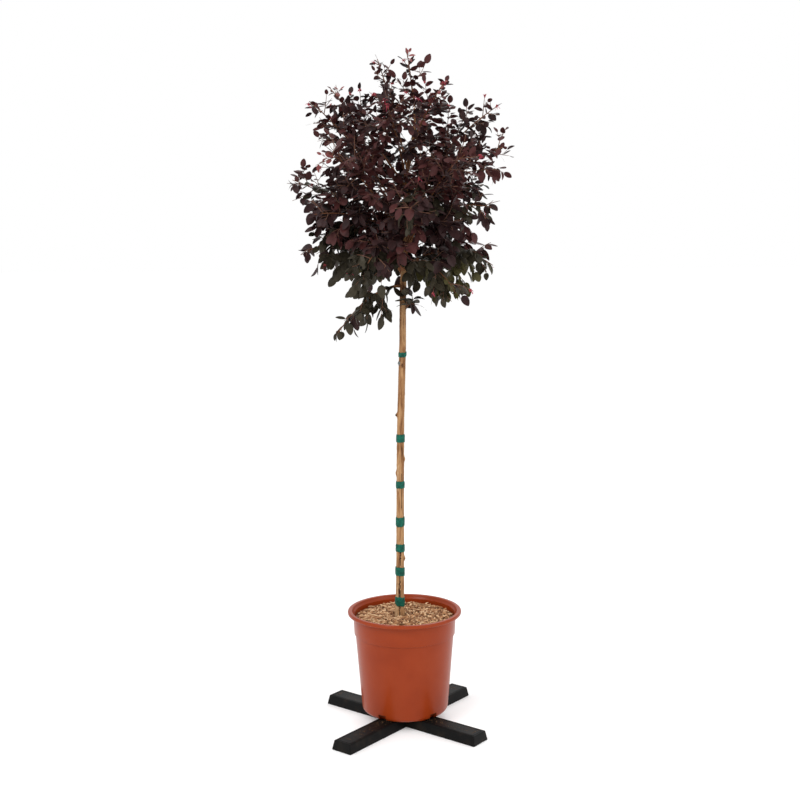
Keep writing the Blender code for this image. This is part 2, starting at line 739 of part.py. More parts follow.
def grow_mass(mass, space, attempt):
    """The stem, twigs, leaves and blossom of one mass, as loose solids."""
    rng = random.Random(f"{SEED} leaves {mass.name} {attempt}")
    twigs = grow_twigs(mass, space)
    radii = [float(r) for r in np.linspace(STEM_RADIUS, STEM_TIP_RADIUS, STEM_RINGS + 1)]
    pieces = [tube(mass.name + "_stem", stem_path(mass), radii, STEM_SIDES)]
    if mass.name in ON_TRUNK:
        cut(pieces[0], trunk_sleeve(mass))
    for _, path in twigs:
        taper = [TWIG_RADIUS, (TWIG_RADIUS + TWIG_TIP_RADIUS) / 2, TWIG_TIP_RADIUS]
        pieces.append(tube(mass.name + "_twig", path, taper, TWIG_SIDES))
    for root, ahead, hand, on_stem in leaf_roots(mass, twigs, rng):
        radius = STEM_TIP_RADIUS if on_stem else TWIG_TIP_RADIUS
        points = make_leaf(mass, root, radius, ahead, hand, rng)
        if space.free(mass, leaf_probe(points), mass.spread + LEAF_LENGTH):
            if not space.touches(points, LEAF_FACES):
                pieces.append(new_object(mass.name + "_leaf", points, LEAF_FACES))
    for number, (_, path) in enumerate(twigs):
        points = blossom_points(path[-1], BLOSSOM_SIZE)
        if number % BLOSSOM_EVERY == 2 and space.free(mass, points, mass.spread + LEAF_LENGTH):
            if not space.touches(points, BLOSSOM_FACES):
                pieces.append(new_object(mass.name + "_blossom", points, BLOSSOM_FACES))
    return pieces


def islands(shape):
    """The separate pieces of a mesh, each as a set of faces joined along edges, largest first."""
    left = set(shape.faces)
    found = []
    while left:
        island = {left.pop()}
        front = list(island)
        while front:
            for edge in front.pop().edges:
                for other in edge.link_faces:
                    if other in left:
                        left.discard(other)
                        island.add(other)
                        front.append(other)
        found.append(island)
    return sorted(found, key=len, reverse=True)


def keep_main_body(thing):
    """Drop any scrap that the fusing left loose, and say whether all of it was small."""
    shape = bmesh.new()
    shape.from_mesh(thing.data)
    _, *scraps = islands(shape)
    small = all(len(scrap) < SMALLEST_ISLAND for scrap in scraps)
    for scrap in scraps:
        bmesh.ops.delete(shape, geom=list(scrap), context="FACES")
    shape.to_mesh(thing.data)
    shape.free()
    return small


def is_pinched(shape):
    """Whether three edges close round a neck too thin to carry what lies beyond it."""
    faces = {frozenset(corner.index for corner in face.verts) for face in shape.faces}
    places = [corner.co for corner in shape.verts]
    near = [{edge.other_vert(corner).index for edge in corner.link_edges} for corner in shape.verts]
    for edge in shape.edges:
        a, b = (corner.index for corner in edge.verts)
        for c in near[a] & near[b]:
            if frozenset((a, b, c)) not in faces and area_tri(places[a], places[b], places[c]) < NECK_AREA:
                return True
    return False


def is_sound(mesh):
    """Whether a mesh is closed, and no stretch of it cuts or touches another."""
    shape = bmesh.new()
    shape.from_mesh(mesh)
    bmesh.ops.triangulate(shape, faces=shape.faces)
    shape.faces.ensure_lookup_table()
    corners = [{corner.index for corner in face.verts} for face in shape.faces]
    tree = BVHTree.FromBMesh(shape)
    closed = all(part.is_manifold for part in (*shape.edges, *shape.verts))
    closed = closed and len(islands(shape)) == 1 and not is_pinched(shape)
    crossed = any(not corners[a] & corners[b] for a, b in tree.overlap(tree))
    touching = False
    for corner in shape.verts:
        for _, _, face, _ in tree.find_nearest_range(corner.co, TOUCH):
            touching = touching or corner.index not in corners[face]
    shape.free()
    return closed and not crossed and not touching


def slim(thing):
    """Collapse the slivers that fusing leaves, as far as the body stays sound, and say if it is."""
    for ratio in SLIM_RATIOS:
        modifier = thing.modifiers.new("slim", "DECIMATE")
        modifier.ratio = ratio
        graph = bpy.context.evaluated_depsgraph_get()
        mesh = bpy.data.meshes.new_from_object(thing.evaluated_get(graph))
        thing.modifiers.clear()
        if is_sound(mesh):
            thing.data = mesh
            return True
    return is_sound(thing.data)


def fuse(name, pieces, finish):
    """Join loose solids into one closed body."""
    body = pieces[0]
    body.name = name
    rest = bpy.data.collections.new(name + "_pieces")
    bpy.context.scene.collection.children.link(rest)
    for piece in pieces[1:]:
        bpy.context.scene.collection.objects.unlink(piece)
        rest.objects.link(piece)
    union = body.modifiers.new("union", "BOOLEAN")
    union.operation = "UNION"
    union.operand_type = "COLLECTION"
    union.collection = rest
    union.solver = "EXACT"
    apply_modifiers(body)
    for piece in list(rest.objects):
        bpy.data.objects.remove(piece)
    bpy.data.collections.remove(rest)
    whole = keep_main_body(body)
    sound = slim(body) and whole
    body.data.name = name
    body.data.materials.clear()
    body.data.materials.append(finish)
    return body, sound


def make_foliage(finish):
    space = Space()
    for mass in MASSES:
        for attempt in range(ATTEMPTS):
            pieces = grow_mass(mass, space, attempt)
            body, sound = fuse("foliage_" + mass.name, pieces, finish)
            if sound:
                break
            if attempt < ATTEMPTS - 1:
                bpy.data.objects.remove(body)
        space.add(body)


def main():
    clear_scene()
    finishes = {name: material(name, colour, 0.55) for name, colour in COLOURS.items()}
    make_stand(finishes["stand"])
    make_pot(finishes["pot"])
    make_compost(finishes["compost"])
    make_mulch(finishes["mulch"])
    make_trunk(finishes["bark"])
    make_bands(finishes["band"])
    make_boughs(finishes["bark"])
    make_foliage(finishes["foliage"])


main()
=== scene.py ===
"""Looks of a Chinese fringe flower grown as a standard, in a nursery pot on a cross stand.

Masses, trunk, bands and pot start from the sizes of the solids. Some values differ from theirs: the
limbs run up to 16 mm further, the mulch lies 2 mm lower, the pot's lip is rounder and the bands are
0.1 mm thinner. Twigs and leaves are drawn anew along the limbs, finer and closer than in the solids,
so none of them stands where a solid one does.
Metres, +Z up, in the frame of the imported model.
"""

import math
import random
from collections import namedtuple

import bmesh
import bpy
import numpy as np
from mathutils import Matrix, Vector, noise


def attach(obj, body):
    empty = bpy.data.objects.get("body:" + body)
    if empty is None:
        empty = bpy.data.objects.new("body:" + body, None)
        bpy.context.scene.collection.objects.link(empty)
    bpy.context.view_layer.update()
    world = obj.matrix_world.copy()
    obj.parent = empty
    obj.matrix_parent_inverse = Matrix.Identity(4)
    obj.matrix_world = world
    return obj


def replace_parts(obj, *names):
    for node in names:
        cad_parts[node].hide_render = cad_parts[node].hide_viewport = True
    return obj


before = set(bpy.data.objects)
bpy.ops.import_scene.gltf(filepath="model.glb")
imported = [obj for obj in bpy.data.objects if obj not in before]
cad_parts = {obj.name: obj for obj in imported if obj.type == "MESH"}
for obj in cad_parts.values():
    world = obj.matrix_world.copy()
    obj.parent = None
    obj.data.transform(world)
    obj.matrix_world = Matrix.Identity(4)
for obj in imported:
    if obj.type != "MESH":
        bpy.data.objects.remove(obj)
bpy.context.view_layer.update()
NODES = sorted(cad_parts)

# Camera
CAMERA_BACK = 3.2430
CAMERA_HEIGHT = 1.2849
CAMERA_PITCH = 0.11577
CAMERA_ROLL = -0.00711
CAMERA_LENS = 53.16
CAMERA_SHIFT = -0.00373

# Studio: each lamp's name, place, power and size
LAMPS = (
    ("key", (-2.2, -2.6, 3.6), 70.0, 1.8),
    ("fill", (2.8, -2.2, 2.2), 28.0, 2.2),
    ("back", (0.6, 3.0, 3.4), 30.0, 2.0),
)
LAMP_AIM = (0, 0, 1.1)
SKY_STRENGTH = 1.0
FLOOR_SIZE = 400.0
FLOOR_DROP = 0.0005
FLOOR_GLOW = 0.13

# Trunk: bends as height, x and y, and radii
TRUNK_BENDS = (
    (0.278, -0.0135, 0.000),
    (0.450, -0.0112, 0.003),
    (0.620, -0.0098, -0.002),
    (0.850, -0.0066, 0.004),
    (1.060, 0.0000, 0.000),
    (1.200, 0.0020, -0.003),
    (1.400, 0.0100, 0.002),
    (1.550, 0.0180, 0.006),
    (1.645, 0.0362, 0.002),
    (1.720, 0.0352, -0.003),
)
TRUNK_FOOT_Z = 0.2783
TRUNK_HEAD_Z = 1.2200
TRUNK_TIP_Z = 1.7000
TRUNK_FOOT_RADIUS = 0.0118
TRUNK_HEAD_RADIUS = 0.0088
TRUNK_TIP_RADIUS = 0.0022
FLARE_RADIUS = 0.0060
FLARE_HEIGHT = 0.0220

# Bark relief: its rings, then the noise round the trunk and up it, and the share of each kind
BARK_SIDES = 40
BARK_STEP = 0.0025
BARK_RELIEF = 0.0007
RIDGE_AROUND = 2.2
RIDGE_UP = 22.0
GRAIN_AROUND = 5.0
GRAIN_UP = 120.0
GRAIN_SHARE = 0.55
RING_SLICE = 7.0
RING_UP = 42.0
RING_SHARE = 1.1

# Scars, stubs and knots on the trunk: height, side in degrees, rise, half length
KNOTS = (
    (1.189, 250.0, 0.0022, 0.008),
    (1.060, 300.0, 0.0012, 0.010),
    (1.004, 268.0, -0.0030, 0.007),
    (1.010, 222.0, 0.0042, 0.005),
    (0.927, 305.0, 0.0022, 0.008),
    (0.919, 275.0, -0.0018, 0.004),
    (0.866, 196.0, 0.0048, 0.005),
    (0.743, 345.0, 0.0026, 0.008),
    (0.704, 192.0, 0.0024, 0.007),
    (0.520, 240.0, 0.0014, 0.009),
    (0.470, 272.0, -0.0020, 0.006),
    (0.461, 338.0, 0.0036, 0.007),
    (0.318, 262.0, -0.0034, 0.030),
    (0.312, 222.0, 0.0030, 0.024),
)
KNOT_WIDTH = 0.55
KNOT_RISE = 1.4
KNOT_FADE = 2.5

# Patches of another tone on the bark: height, half length, sides from and to in degrees, tone
# The furrow patches are painted shade: a dark tone where the bark sinks in
SHADED_FURROW, STRAND, NUB = 1, 2, 3
PATCHES = (
    (0.350, 0.085, 256.0, 276.0, SHADED_FURROW),
    (0.335, 0.060, 214.0, 246.0, STRAND),
    (0.470, 0.030, 264.0, 284.0, SHADED_FURROW),
    (0.690, 0.040, 226.0, 244.0, STRAND),
    (0.655, 0.050, 286.0, 298.0, SHADED_FURROW),
    (1.004, 0.006, 256.0, 280.0, SHADED_FURROW),
    (1.010, 0.006, 205.0, 240.0, NUB),
    (0.866, 0.003, 180.0, 215.0, SHADED_FURROW),
)
RAGGED = 5.0
RAGGED_SLICE = 3.0
RAGGED_UP = 130.0

# Tie bands: middle height and width
BANDS = (
    (0.3364, 0.0266),
    (0.4233, 0.0248),
    (0.4903, 0.0226),
    (0.5660, 0.0272),
    (0.6707, 0.0204),
    (0.8004, 0.0228),
    (1.0343, 0.0134),
)
BAND_SIDES = 64
BAND_ROWS = 8
BAND_THICK = 0.0013
BAND_FILL = 0.96
BAND_EDGE = 0.35
BAND_GAP = 0.0007
BAND_INNER_GAP = 0.0004
BAND_SLANT = 0.0016
BAND_WAVE = 0.0022
BAND_WAVE_SCALE = 1.4
BAND_WAVE_SLICE = 90
BAND_LAP = 0.0006
BAND_LAP_TURN = 1.3
BAND_CREASE = 0.0004
BAND_CREASE_SCALES = (2.0, 9.0, 50)
BAND_EDGE_POWER = 8
BAND_SHARP = math.radians(50)

# Crown outline: how far leaves may reach from the upright axis, by height
OUTLINE = (
    (1.050, 0.215),
    (1.200, 0.225),
    (1.270, 0.275),
    (1.310, 0.300),
    (1.400, 0.285),
    (1.500, 0.315),
    (1.600, 0.310),
    (1.700, 0.295),
    (1.750, 0.275),
    (1.790, 0.240),
    (1.820, 0.140),
    (1.852, 0.100),
    (1.856, 0.000),
)
OUTLINE_SLACK = 1e-6

# Crown: azimuth, reach and height of each mass's tip, its fork on the trunk, arch, half width, bend
Mass = namedtuple("Mass", "name azimuth reach height fork arch spread bend")
MASSES = (
    Mass("top", 330.0, 0.020, 1.845, 1.700, 0.010, 0.110, 0.30),
    Mass("leader_left", 143.0, 0.083, 1.846, 1.535, 0.030, 0.110, 0.25),
    Mass("leader_right", 322.7, 0.148, 1.760, 1.600, 0.020, 0.100, 0.20),
    Mass("high_left", 189.0, 0.254, 1.721, 1.395, 0.060, 0.125, 0.15),
    Mass("high_back_left", 147.3, 0.241, 1.777, 1.485, 0.020, 0.125, 0.20),
    Mass("high_back_right", 66.0, 0.225, 1.755, 1.520, 0.030, 0.130, 0.20),
    Mass("high_right", 12.5, 0.278, 1.716, 1.460, 0.040, 0.125, 0.15),
    Mass("high_front", 258.0, 0.210, 1.700, 1.500, 0.050, 0.135, 0.15),
    Mass("mid_left", 176.3, 0.306, 1.518, 1.255, 0.080, 0.140, 0.05),
    Mass("mid_back_left", 122.0, 0.290, 1.580, 1.370, 0.070, 0.150, 0.05),
    Mass("mid_back_right", 56.0, 0.285, 1.560, 1.315, 0.080, 0.150, 0.05),
    Mass("mid_right", 354.0, 0.284, 1.598, 1.345, 0.080, 0.140, 0.05),
    Mass("mid_front_right", 305.0, 0.285, 1.560, 1.295, 0.080, 0.150, 0.05),
    Mass("mid_front_left", 228.0, 0.290, 1.570, 1.330, 0.080, 0.150, 0.05),
    Mass("inner_left", 204.0, 0.262, 1.415, 1.352, 0.050, 0.130, -0.05),
    Mass("inner_right", 337.0, 0.268, 1.430, 1.382, 0.050, 0.130, -0.05),
    Mass("inner_front", 275.0, 0.280, 1.420, 1.362, 0.050, 0.140, -0.05),
    Mass("inner_back", 90.0, 0.280, 1.420, 1.345, 0.050, 0.150, -0.05),
    Mass("low_left", 184.0, 0.285, 1.308, 1.305, 0.080, 0.120, -0.20),
    Mass("low_back_left", 130.0, 0.270, 1.300, 1.278, 0.080, 0.140, -0.20),
    Mass("low_back_right", 56.0, 0.270, 1.290, 1.242, 0.090, 0.140, -0.20),
    Mass("low_right", 4.4, 0.262, 1.276, 1.270, 0.090, 0.120, -0.20),
    Mass("low_front_right", 318.0, 0.200, 1.203, 1.232, 0.110, 0.120, -0.25),
    Mass("low_front", 248.0, 0.245, 1.285, 1.262, 0.090, 0.140, -0.20),
    Mass("hanging_left", 197.7, 0.197, 1.084, 1.222, 0.070, 0.070, -0.25),
    Mass("side_shoot", 342.7, 0.040, 1.195, 1.150, 0.000, 0.045, 0.00),
)
ON_TRUNK = ("top", "inner_left", "inner_right", "inner_front", "inner_back", "side_shoot")
SPARSE = ("top", "side_shoot", "leader_left", "leader_right", "hanging_left")
LOW_CROWN = 1.30
HIGH_CROWN = 1.62

# Boughs and stems
ENTER = 0.22
END_SHOOT = 0.012
BOUGH_ROOT_SHARE = 0.62
BOUGH_ROOT_LIMIT = 0.0055
BOUGH_RINGS = 14
BOUGH_SIDES = 12
BOUGH_WOBBLE = 0.14
COLLAR_SWELL = 0.5
COLLAR_FADE = 9
STEM_RADIUS = 0.0028
STEM_TIP_RADIUS = 0.0010
STEM_RINGS = 26
STEM_SIDES = 8
STEM_WOBBLE = 0.12
WOBBLE_REACH = 0.004
WOBBLE_SCALE = 260.0

# Twigs
SEED = 41
JITTER = (0.2, 0.8)
TWIG_GAP = 0.021
SPARSE_GAP = 1.35
FEWEST_TWIGS = 4
TRUNK_BARE = 0.06
FIRST_TWIG = 0.05
LAST_TWIG = 0.95
LOOK_AHEAD = 0.02
TWIG_TURN = math.radians(137.5)
TWIG_ANGLE = math.radians(56.0)
TWIG_LEAN = (0.8, 1.15)
TWIG_TAPER = 0.68
TWIG_SIZES = (0.85, 1.15)
HIGH_TRIM = 0.45
HIGH_TRIM_SPAN = 0.12
TWIG_SHORTEST = 0.02
TWIG_SHORTEN = 0.85
TWIG_RADIUS = 0.0015
TWIG_TIP_RADIUS = 0.0006
TWIG_RINGS = 7
TWIG_SIDES = 5
TWIG_BARE = 0.10
TWIG_DRIFT = 0.07
DRIFT_UP = 0.6
FINE_GAP = 0.026
FINE_FIRST = 0.18
FINE_SPAN = 0.62
FINE_ANGLE = 0.9
FINE_SHARE = 0.42
FINE_TAPER = 0.5
FINE_SIZES = (0.7, 1.2)
FINE_THIN = 0.6
FINE_RINGS = 4
FINE_SIDES = 4
FINE_BARE = 0.25

# Leaves
LEAF_GAP = 0.0098
LAST_LEAF = 0.995
LEAF_LENGTH = (0.029, 0.045)
LEAF_BROAD = (0.56, 0.68)
LEAF_CURL = (-0.15, 0.95)
LEAF_CUP = (-0.25, 0.35)
CUP_POWER = 1.6
LEAF_FLAT = 0.01
LEAF_ANGLE = math.radians(54.0)
LEAF_LEAN = (0.75, 1.25)
LEAF_TILT = (0.1, 1.1)
LEAF_UP = 0.9
LEAF_SPIN = 0.7
LOW_SAG = 0.55
HIGH_SAG = 0.14
SAG_RANGE = (0.3, 1.6)
LEAF_CLEAR = 0.003
EDGE_START = 0.55
EDGE_THIN = 0.60
TIP_SHRINK = 0.40
HIGH_SHRINK = 0.26
YOUNG_SIZE = 0.80
LOW_BARE = 0.16
HIGH_BARE = 0.28
END_RINGS = 12
STATIONS = (0.0, 0.07, 0.17, 0.34, 0.52, 0.70, 0.86, 0.96, 1.0)
COLUMNS = (-1.0, -0.5, 0.0, 0.5, 1.0)
STALK_WIDTH = 0.045
TIP_WIDTH = 0.10
BLADE_SKEW = 0.86
BLADE_BLUNT = 0.58
LEAF_MIDDLE = 4 * len(COLUMNS) + len(COLUMNS) // 2
LEAF_TIP = len(STATIONS) * len(COLUMNS) - 1 - len(COLUMNS) // 2

# Where each leaf tone grows: heights as shares of the crown, and shares of the sprays
TONE_FOOT = 1.20
TONE_SPAN = 0.60
UPPER = 0.5
LOWER = 0.2
YOUNG_FROM = 0.45
YOUNG_OUTER = 0.85
YOUNG_SHARE = 0.16
UPPER_PLUM = 0.62
MIDDLE_WINE = 0.55
MIDDLE_PLUM = 0.78
LOWER_MOSS = 0.10
LOWER_UMBER = 0.62

# Blossom: buds as places and radii along them, and straps
HIGH_BLOSSOM = 1.66
HIGH_CHANCE = 0.45
LOW_CHANCE = 0.13
BLOSSOM_REACH = 0.012
BUD_COUNT = (4, 7)
BUD_SCATTER = 0.0030
BUD_SIZE = (0.0014, 0.0024)
BUD_PLACES = (-1.3, -0.7, 0.0, 0.8, 1.5)
BUD_RADII = (0.25, 0.85, 1.0, 0.75, 0.15)
BUD_SIDES = 6
STRAP_COUNT = (6, 10)
STRAP_PLACES = (0.0, 0.3, 0.6, 0.85, 1.0)
STRAP_LENGTH = (0.006, 0.012)
STRAP_WIDTH = 0.0007
STRAP_ROOT = 1.2
STRAP_TAPER = 0.5
STRAP_DROOP = 0.45
STRAP_TWIST = 0.4
STRAP_FORWARD = 0.6
STRAP_UP = 0.8

# Pot, as radii and heights
POT_STEPS = 128
BAR_HEIGHT = 0.0263
POT_BASE_Z = 0.0266
POT_BASE_RADIUS = 0.1206
POT_CORNER = 0.0130
POT_WALL = 0.0028
POT_CREASE = math.radians(32)
SKIRT_INSIDE = 0.1010
FLOOR_RISE = 0.0100
FLOOR_THICK = 0.0030
WALL_START = 1.6
WALL_END = 0.004
WALL_ROWS = 12
COLLAR_Z = 0.2474
WALL_TOP_RADIUS = 0.1388
COLLAR_RADIUS = 0.1421
COLLAR_TOP_RADIUS = 0.1446
COLLAR_EDGE = 0.0012
COLLAR_FOOT = 0.0008
COLLAR_BEVEL = 0.0004
COLLAR_TURN = 0.0014
LIP_Z = 0.3030
LIP_TURN = 0.0015
LIP_UNDERCUT = 0.0030
CORNER_STEPS = 8
LIP_STEPS = 6
RIM_STEPS = 7
RIM_Z = 0.3136
RIM_RADIUS = 0.1600
RIM_INSIDE = 0.1468
RIM_ROUND = 0.0042
DRAIN_COUNT = 5
DRAIN_WIDTH = 0.0250
DRAIN_NARROW = 0.94
DRAIN_HEIGHT = 0.0165
DRAIN_DEPTH = 0.0240
DRAIN_FIRST = math.radians(-122.0)

# Mulch
MULCH_EDGE_Z = 0.2900
MULCH_HEAP = 0.0060
MULCH_LUMPS = 0.0030
MULCH_COARSE = 28.0
MULCH_FINE = 61.0
MULCH_FINE_SHARE = 0.6
MULCH_LOW = 0.2790
MULCH_STEPS = 96
MULCH_ROWS = 44
MULCH_HOLE = 0.9
MULCH_GAP = 0.0005
MULCH_CRUMBS = 0.0012
MULCH_CRUMB_SCALE = 210.0
MULCH_FINE_SLICE = 5.0
MULCH_CRUMB_SLICE = 9.0

# Wood chips: count, sizes, lie, and the share of each kind
CHIP_COUNT = 1900
CHIP_EDGE = 0.013
CHIP_TRUNK = 0.026
CHIP_LENGTH = (0.007, 0.025)
CHIP_WIDTH = (0.0016, 0.0056)
CHIP_THICK = (0.0008, 0.0024)
CHIP_BOW = (-0.10, 0.16)
CHIP_LIFT = (0.0004, 0.0042)
CHIP_PITCH = 0.22
CHIP_ROLL = 0.30
CHIP_STATIONS = (-0.5, -0.42, -0.1, 0.2, 0.43, 0.5)
CHIP_END = 0.35
CHIP_RAGGED = (0.75, 1.1)
CHIP_SLANT = 0.0010
PALE_CHIPS = 0.34
TAN_CHIPS = 0.78

# Stand
STAND_CENTRE = (-0.0025, -0.0350)
BAR_LENGTHS = (0.5440, 0.5230)
BAR_WIDTH = 0.0660
BAR_ANGLE = math.radians(51.9)
BORDER_INSET = 0.0105
BORDER_WIDTH = 0.0022
BORDER_RISE = 0.0009
BORDER_SINK = 0.0003
BORDER_START = 0.004
BORDER_TOP = 0.25

# Compost spilled on the stand
SPILLED = 900
SPILL_REACH = 0.075
SPILL_LIMIT = 0.24
SPILL_WIDTH = 7
CRUMB_SIZE = (0.0005, 0.0016)
CRUMB_SINK = 0.0002
CRUMB_UNEVEN = (0.7, 1.2)
CRUMB_HEIGHT = (0.5, 1.0)

# Finishes: gloss, noise, grain, and the tones that each surface drifts between
GLOSS = 0.17
STAND_GLOSS = 0.12
SHEEN = 0.02
BARK_GRAIN = (1.0, 1.0, 0.13)
CHIP_GRAIN = (1.0, 3.0, 1.0)
DRIFT_DETAIL = 6.0
RELIEF_DETAIL = 4.0
RELIEF_DEPTH = 0.001
TONE_RANGE = (0.30, 0.70)
TONES = {
    "floor": ((0.88, 0.88, 0.88), (0.89, 0.89, 0.89)),
    "bark": ((0.040, 0.014, 0.006), (0.22, 0.100, 0.040), (0.40, 0.225, 0.105), (0.100, 0.040, 0.016)),
    # painted shade in the bark's furrows and hollows
    "furrow": ((0.010, 0.005, 0.003), (0.035, 0.015, 0.007)),
    "strand": ((0.34, 0.20, 0.10), (0.52, 0.35, 0.20)),
    "nub": ((0.075, 0.090, 0.090), (0.15, 0.17, 0.165)),
    "band": ((0.002, 0.034, 0.024), (0.005, 0.125, 0.082)),
    "bough": ((0.055, 0.020, 0.010), (0.17, 0.068, 0.028), (0.24, 0.105, 0.045)),
    "stem": ((0.10, 0.036, 0.018), (0.20, 0.085, 0.038)),
    "twig": ((0.10, 0.045, 0.030), (0.19, 0.095, 0.060)),
    "petal": ((0.30, 0.020, 0.055), (0.52, 0.045, 0.110)),
    "bud": ((0.20, 0.030, 0.040), (0.36, 0.075, 0.075)),
    "pot": ((0.242, 0.030, 0.004), (0.264, 0.035, 0.006), (0.252, 0.032, 0.005), (0.232, 0.028, 0.004)),
    "fines": ((0.050, 0.021, 0.009), (0.19, 0.085, 0.038), (0.32, 0.16, 0.075)),
    "stand": ((0.0018, 0.0018, 0.0018), (0.0032, 0.0030, 0.0028), (0.014, 0.010, 0.007)),
    "compost": ((0.030, 0.016, 0.009), (0.075, 0.042, 0.023)),
    "dust": ((0.085, 0.045, 0.022), (0.22, 0.13, 0.070)),
}
LEAF_TONES = {
    "wine": ((0.014, 0.006, 0.006), (0.030, 0.011, 0.011), (0.020, 0.008, 0.008)),
    "plum": ((0.032, 0.009, 0.009), (0.066, 0.018, 0.017), (0.044, 0.012, 0.012)),
    "umber": ((0.017, 0.014, 0.008), (0.036, 0.029, 0.017), (0.025, 0.020, 0.012)),
    "moss": ((0.040, 0.036, 0.012), (0.074, 0.064, 0.022), (0.052, 0.045, 0.016)),
    "mauve": ((0.150, 0.036, 0.038), (0.240, 0.070, 0.068), (0.185, 0.048, 0.048)),
}
CHIP_TONES = {
    "pale": ((0.50, 0.29, 0.15), (0.70, 0.47, 0.28), (0.42, 0.23, 0.11)),
    "tan": ((0.32, 0.145, 0.062), (0.45, 0.235, 0.115), (0.25, 0.105, 0.045)),
    "dark": ((0.15, 0.060, 0.026), (0.24, 0.105, 0.050), (0.085, 0.034, 0.016)),
}


class Pile:
    """Loose shapes of one kind, gathered into one mesh."""

    def __init__(self):
        self.points = []
        self.faces = []
        self.count = 0

    def add(self, points, faces):
        self.points.append(np.asarray(points, float))
        self.faces.extend(tuple(k + self.count for k in face) for face in faces)
        self.count += len(points)

    def build(self, name, skin, slot, smooth=True):
        mesh = bpy.data.meshes.new(name)
        mesh.from_pydata(np.concatenate(self.points).tolist(), [], self.faces)
        mesh.materials.append(skin)
        if smooth:
            mesh.shade_smooth()
        thing = bpy.data.objects.new(name, mesh)
        bpy.context.scene.collection.objects.link(thing)
        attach(thing, "root")
        return thing


def ring_faces(rings):
    faces = []
    for low, high in zip(rings, rings[1:]):
        for k in range(len(low)):
            j = (k + 1) % len(low)
            corners = tuple(dict.fromkeys((low[k], low[j], high[j], high[k])))
            if len(corners) > 2:
                faces.append(corners)
    return faces


def even_rings(rows, steps):
    """Point numbers of rows that each have the same number of points."""
    return [[row * steps + k for k in range(steps)] for row in range(rows)]


def capped(rings):
    """Faces between rings, with both ends closed."""
    return ring_faces(rings) + [tuple(rings[0][::-1]), tuple(rings[-1])]


def tube(path, radii, sides, wobble=0.0):
    """Points and faces of a closed tapering tube along a path."""
    points = []
    side = None
    for k, (spot, radius) in enumerate(zip(path, radii)):
        along = (path[min(k + 1, len(path) - 1)] - path[max(k - 1, 0)]).normalized()
        if side is None:
            side = along.orthogonal().normalized()
        side = (side - along * side.dot(along)).normalized()
        across = along.cross(side)
        for j in range(sides):
            turn = 2 * math.pi * j / sides
            way = side * math.cos(turn) + across * math.sin(turn)
            rough = 1 + wobble * noise.noise((spot + way * WOBBLE_REACH) * WOBBLE_SCALE)
            points.append(spot + way * radius * rough)
    return [tuple(p) for p in points], capped(even_rings(len(path), sides))


def share_of(value, start, span):
    """How far a value lies along a span, from 0 to 1."""
    return min(max((value - start) / span, 0.0), 1.0)


def random_way(rng, x, y, z):
    """A vector drawn from the ranges of its three parts."""
    return Vector((rng.uniform(*x), rng.uniform(*y), rng.uniform(*z)))


def shader_of(skin):
    return skin.node_tree.nodes["Principled BSDF"]


def finish(name, tones, roughness, scale, bump=0.0, bump_scale=None, stretch=(1, 1, 1), sheen=0.0):
    """A material whose tones drift with noise, with fine relief from a second noise."""
    made = bpy.data.materials.new(name)
    made.use_nodes = True
    nodes, links, shader = made.node_tree.nodes, made.node_tree.links, shader_of(made)
    shader.inputs["Roughness"].default_value = roughness
    shader.inputs["Specular IOR Level"].default_value = GLOSS
    shader.inputs["Sheen Weight"].default_value = sheen
    place = nodes.new("ShaderNodeTexCoord")
    mapping = nodes.new("ShaderNodeMapping")
    mapping.inputs["Scale"].default_value = stretch
    links.new(place.outputs["Object"], mapping.inputs["Vector"])
    drift = nodes.new("ShaderNodeTexNoise")
    drift.inputs["Scale"].default_value = scale
    drift.inputs["Detail"].default_value = DRIFT_DETAIL
    links.new(mapping.outputs["Vector"], drift.inputs["Vector"])
    ramp = nodes.new("ShaderNodeValToRGB")
    links.new(drift.outputs["Fac"], ramp.inputs["Fac"])
    while len(ramp.color_ramp.elements) < len(tones):
        ramp.color_ramp.elements.new(0.5)
    spots = np.linspace(*TONE_RANGE, len(tones))
    for element, spot, tone in zip(ramp.color_ramp.elements, spots, tones):
        element.position = float(spot)
        element.color = (*tone, 1.0)
    links.new(ramp.outputs["Color"], shader.inputs["Base Color"])
    if bump:
        grain = nodes.new("ShaderNodeTexNoise")
        grain.inputs["Scale"].default_value = bump_scale or scale * 4
        grain.inputs["Detail"].default_value = RELIEF_DETAIL
        links.new(mapping.outputs["Vector"], grain.inputs["Vector"])
        relief = nodes.new("ShaderNodeBump")
        relief.inputs["Strength"].default_value = bump
        relief.inputs["Distance"].default_value = RELIEF_DEPTH
        links.new(grain.outputs["Fac"], relief.inputs["Height"])
        links.new(relief.outputs["Normal"], shader.inputs["Normal"])
    return made


def trunk_centre(z):
    """A smooth curve through the trunk's bends."""
    bends = np.array(TRUNK_BENDS)
    heights = bends[:, 0]
    slopes = np.gradient(bends[:, 1:], heights, axis=0)
    z = min(max(z, heights[0]), heights[-1])
    k = min(int(np.searchsorted(heights, z, side="right")) - 1, len(heights) - 2)
    gap = heights[k + 1] - heights[k]
    t = (z - heights[k]) / gap
    start = bends[k, 1:] * (1 + 2 * t) * (1 - t) ** 2 + slopes[k] * gap * t * (1 - t) ** 2
    end = bends[k + 1, 1:] * t * t * (3 - 2 * t) - slopes[k + 1] * gap * t * t * (1 - t)
    x, y = start + end
    return Vector((float(x), float(y), z))


def trunk_radius(z):
    heights = (TRUNK_FOOT_Z, TRUNK_HEAD_Z, TRUNK_TIP_Z)
    radii = (TRUNK_FOOT_RADIUS, TRUNK_HEAD_RADIUS, TRUNK_TIP_RADIUS)
    flare = FLARE_RADIUS * math.exp(-max(z - TRUNK_FOOT_Z, 0.0) / FLARE_HEIGHT)
    return float(np.interp(z, heights, radii)) + flare


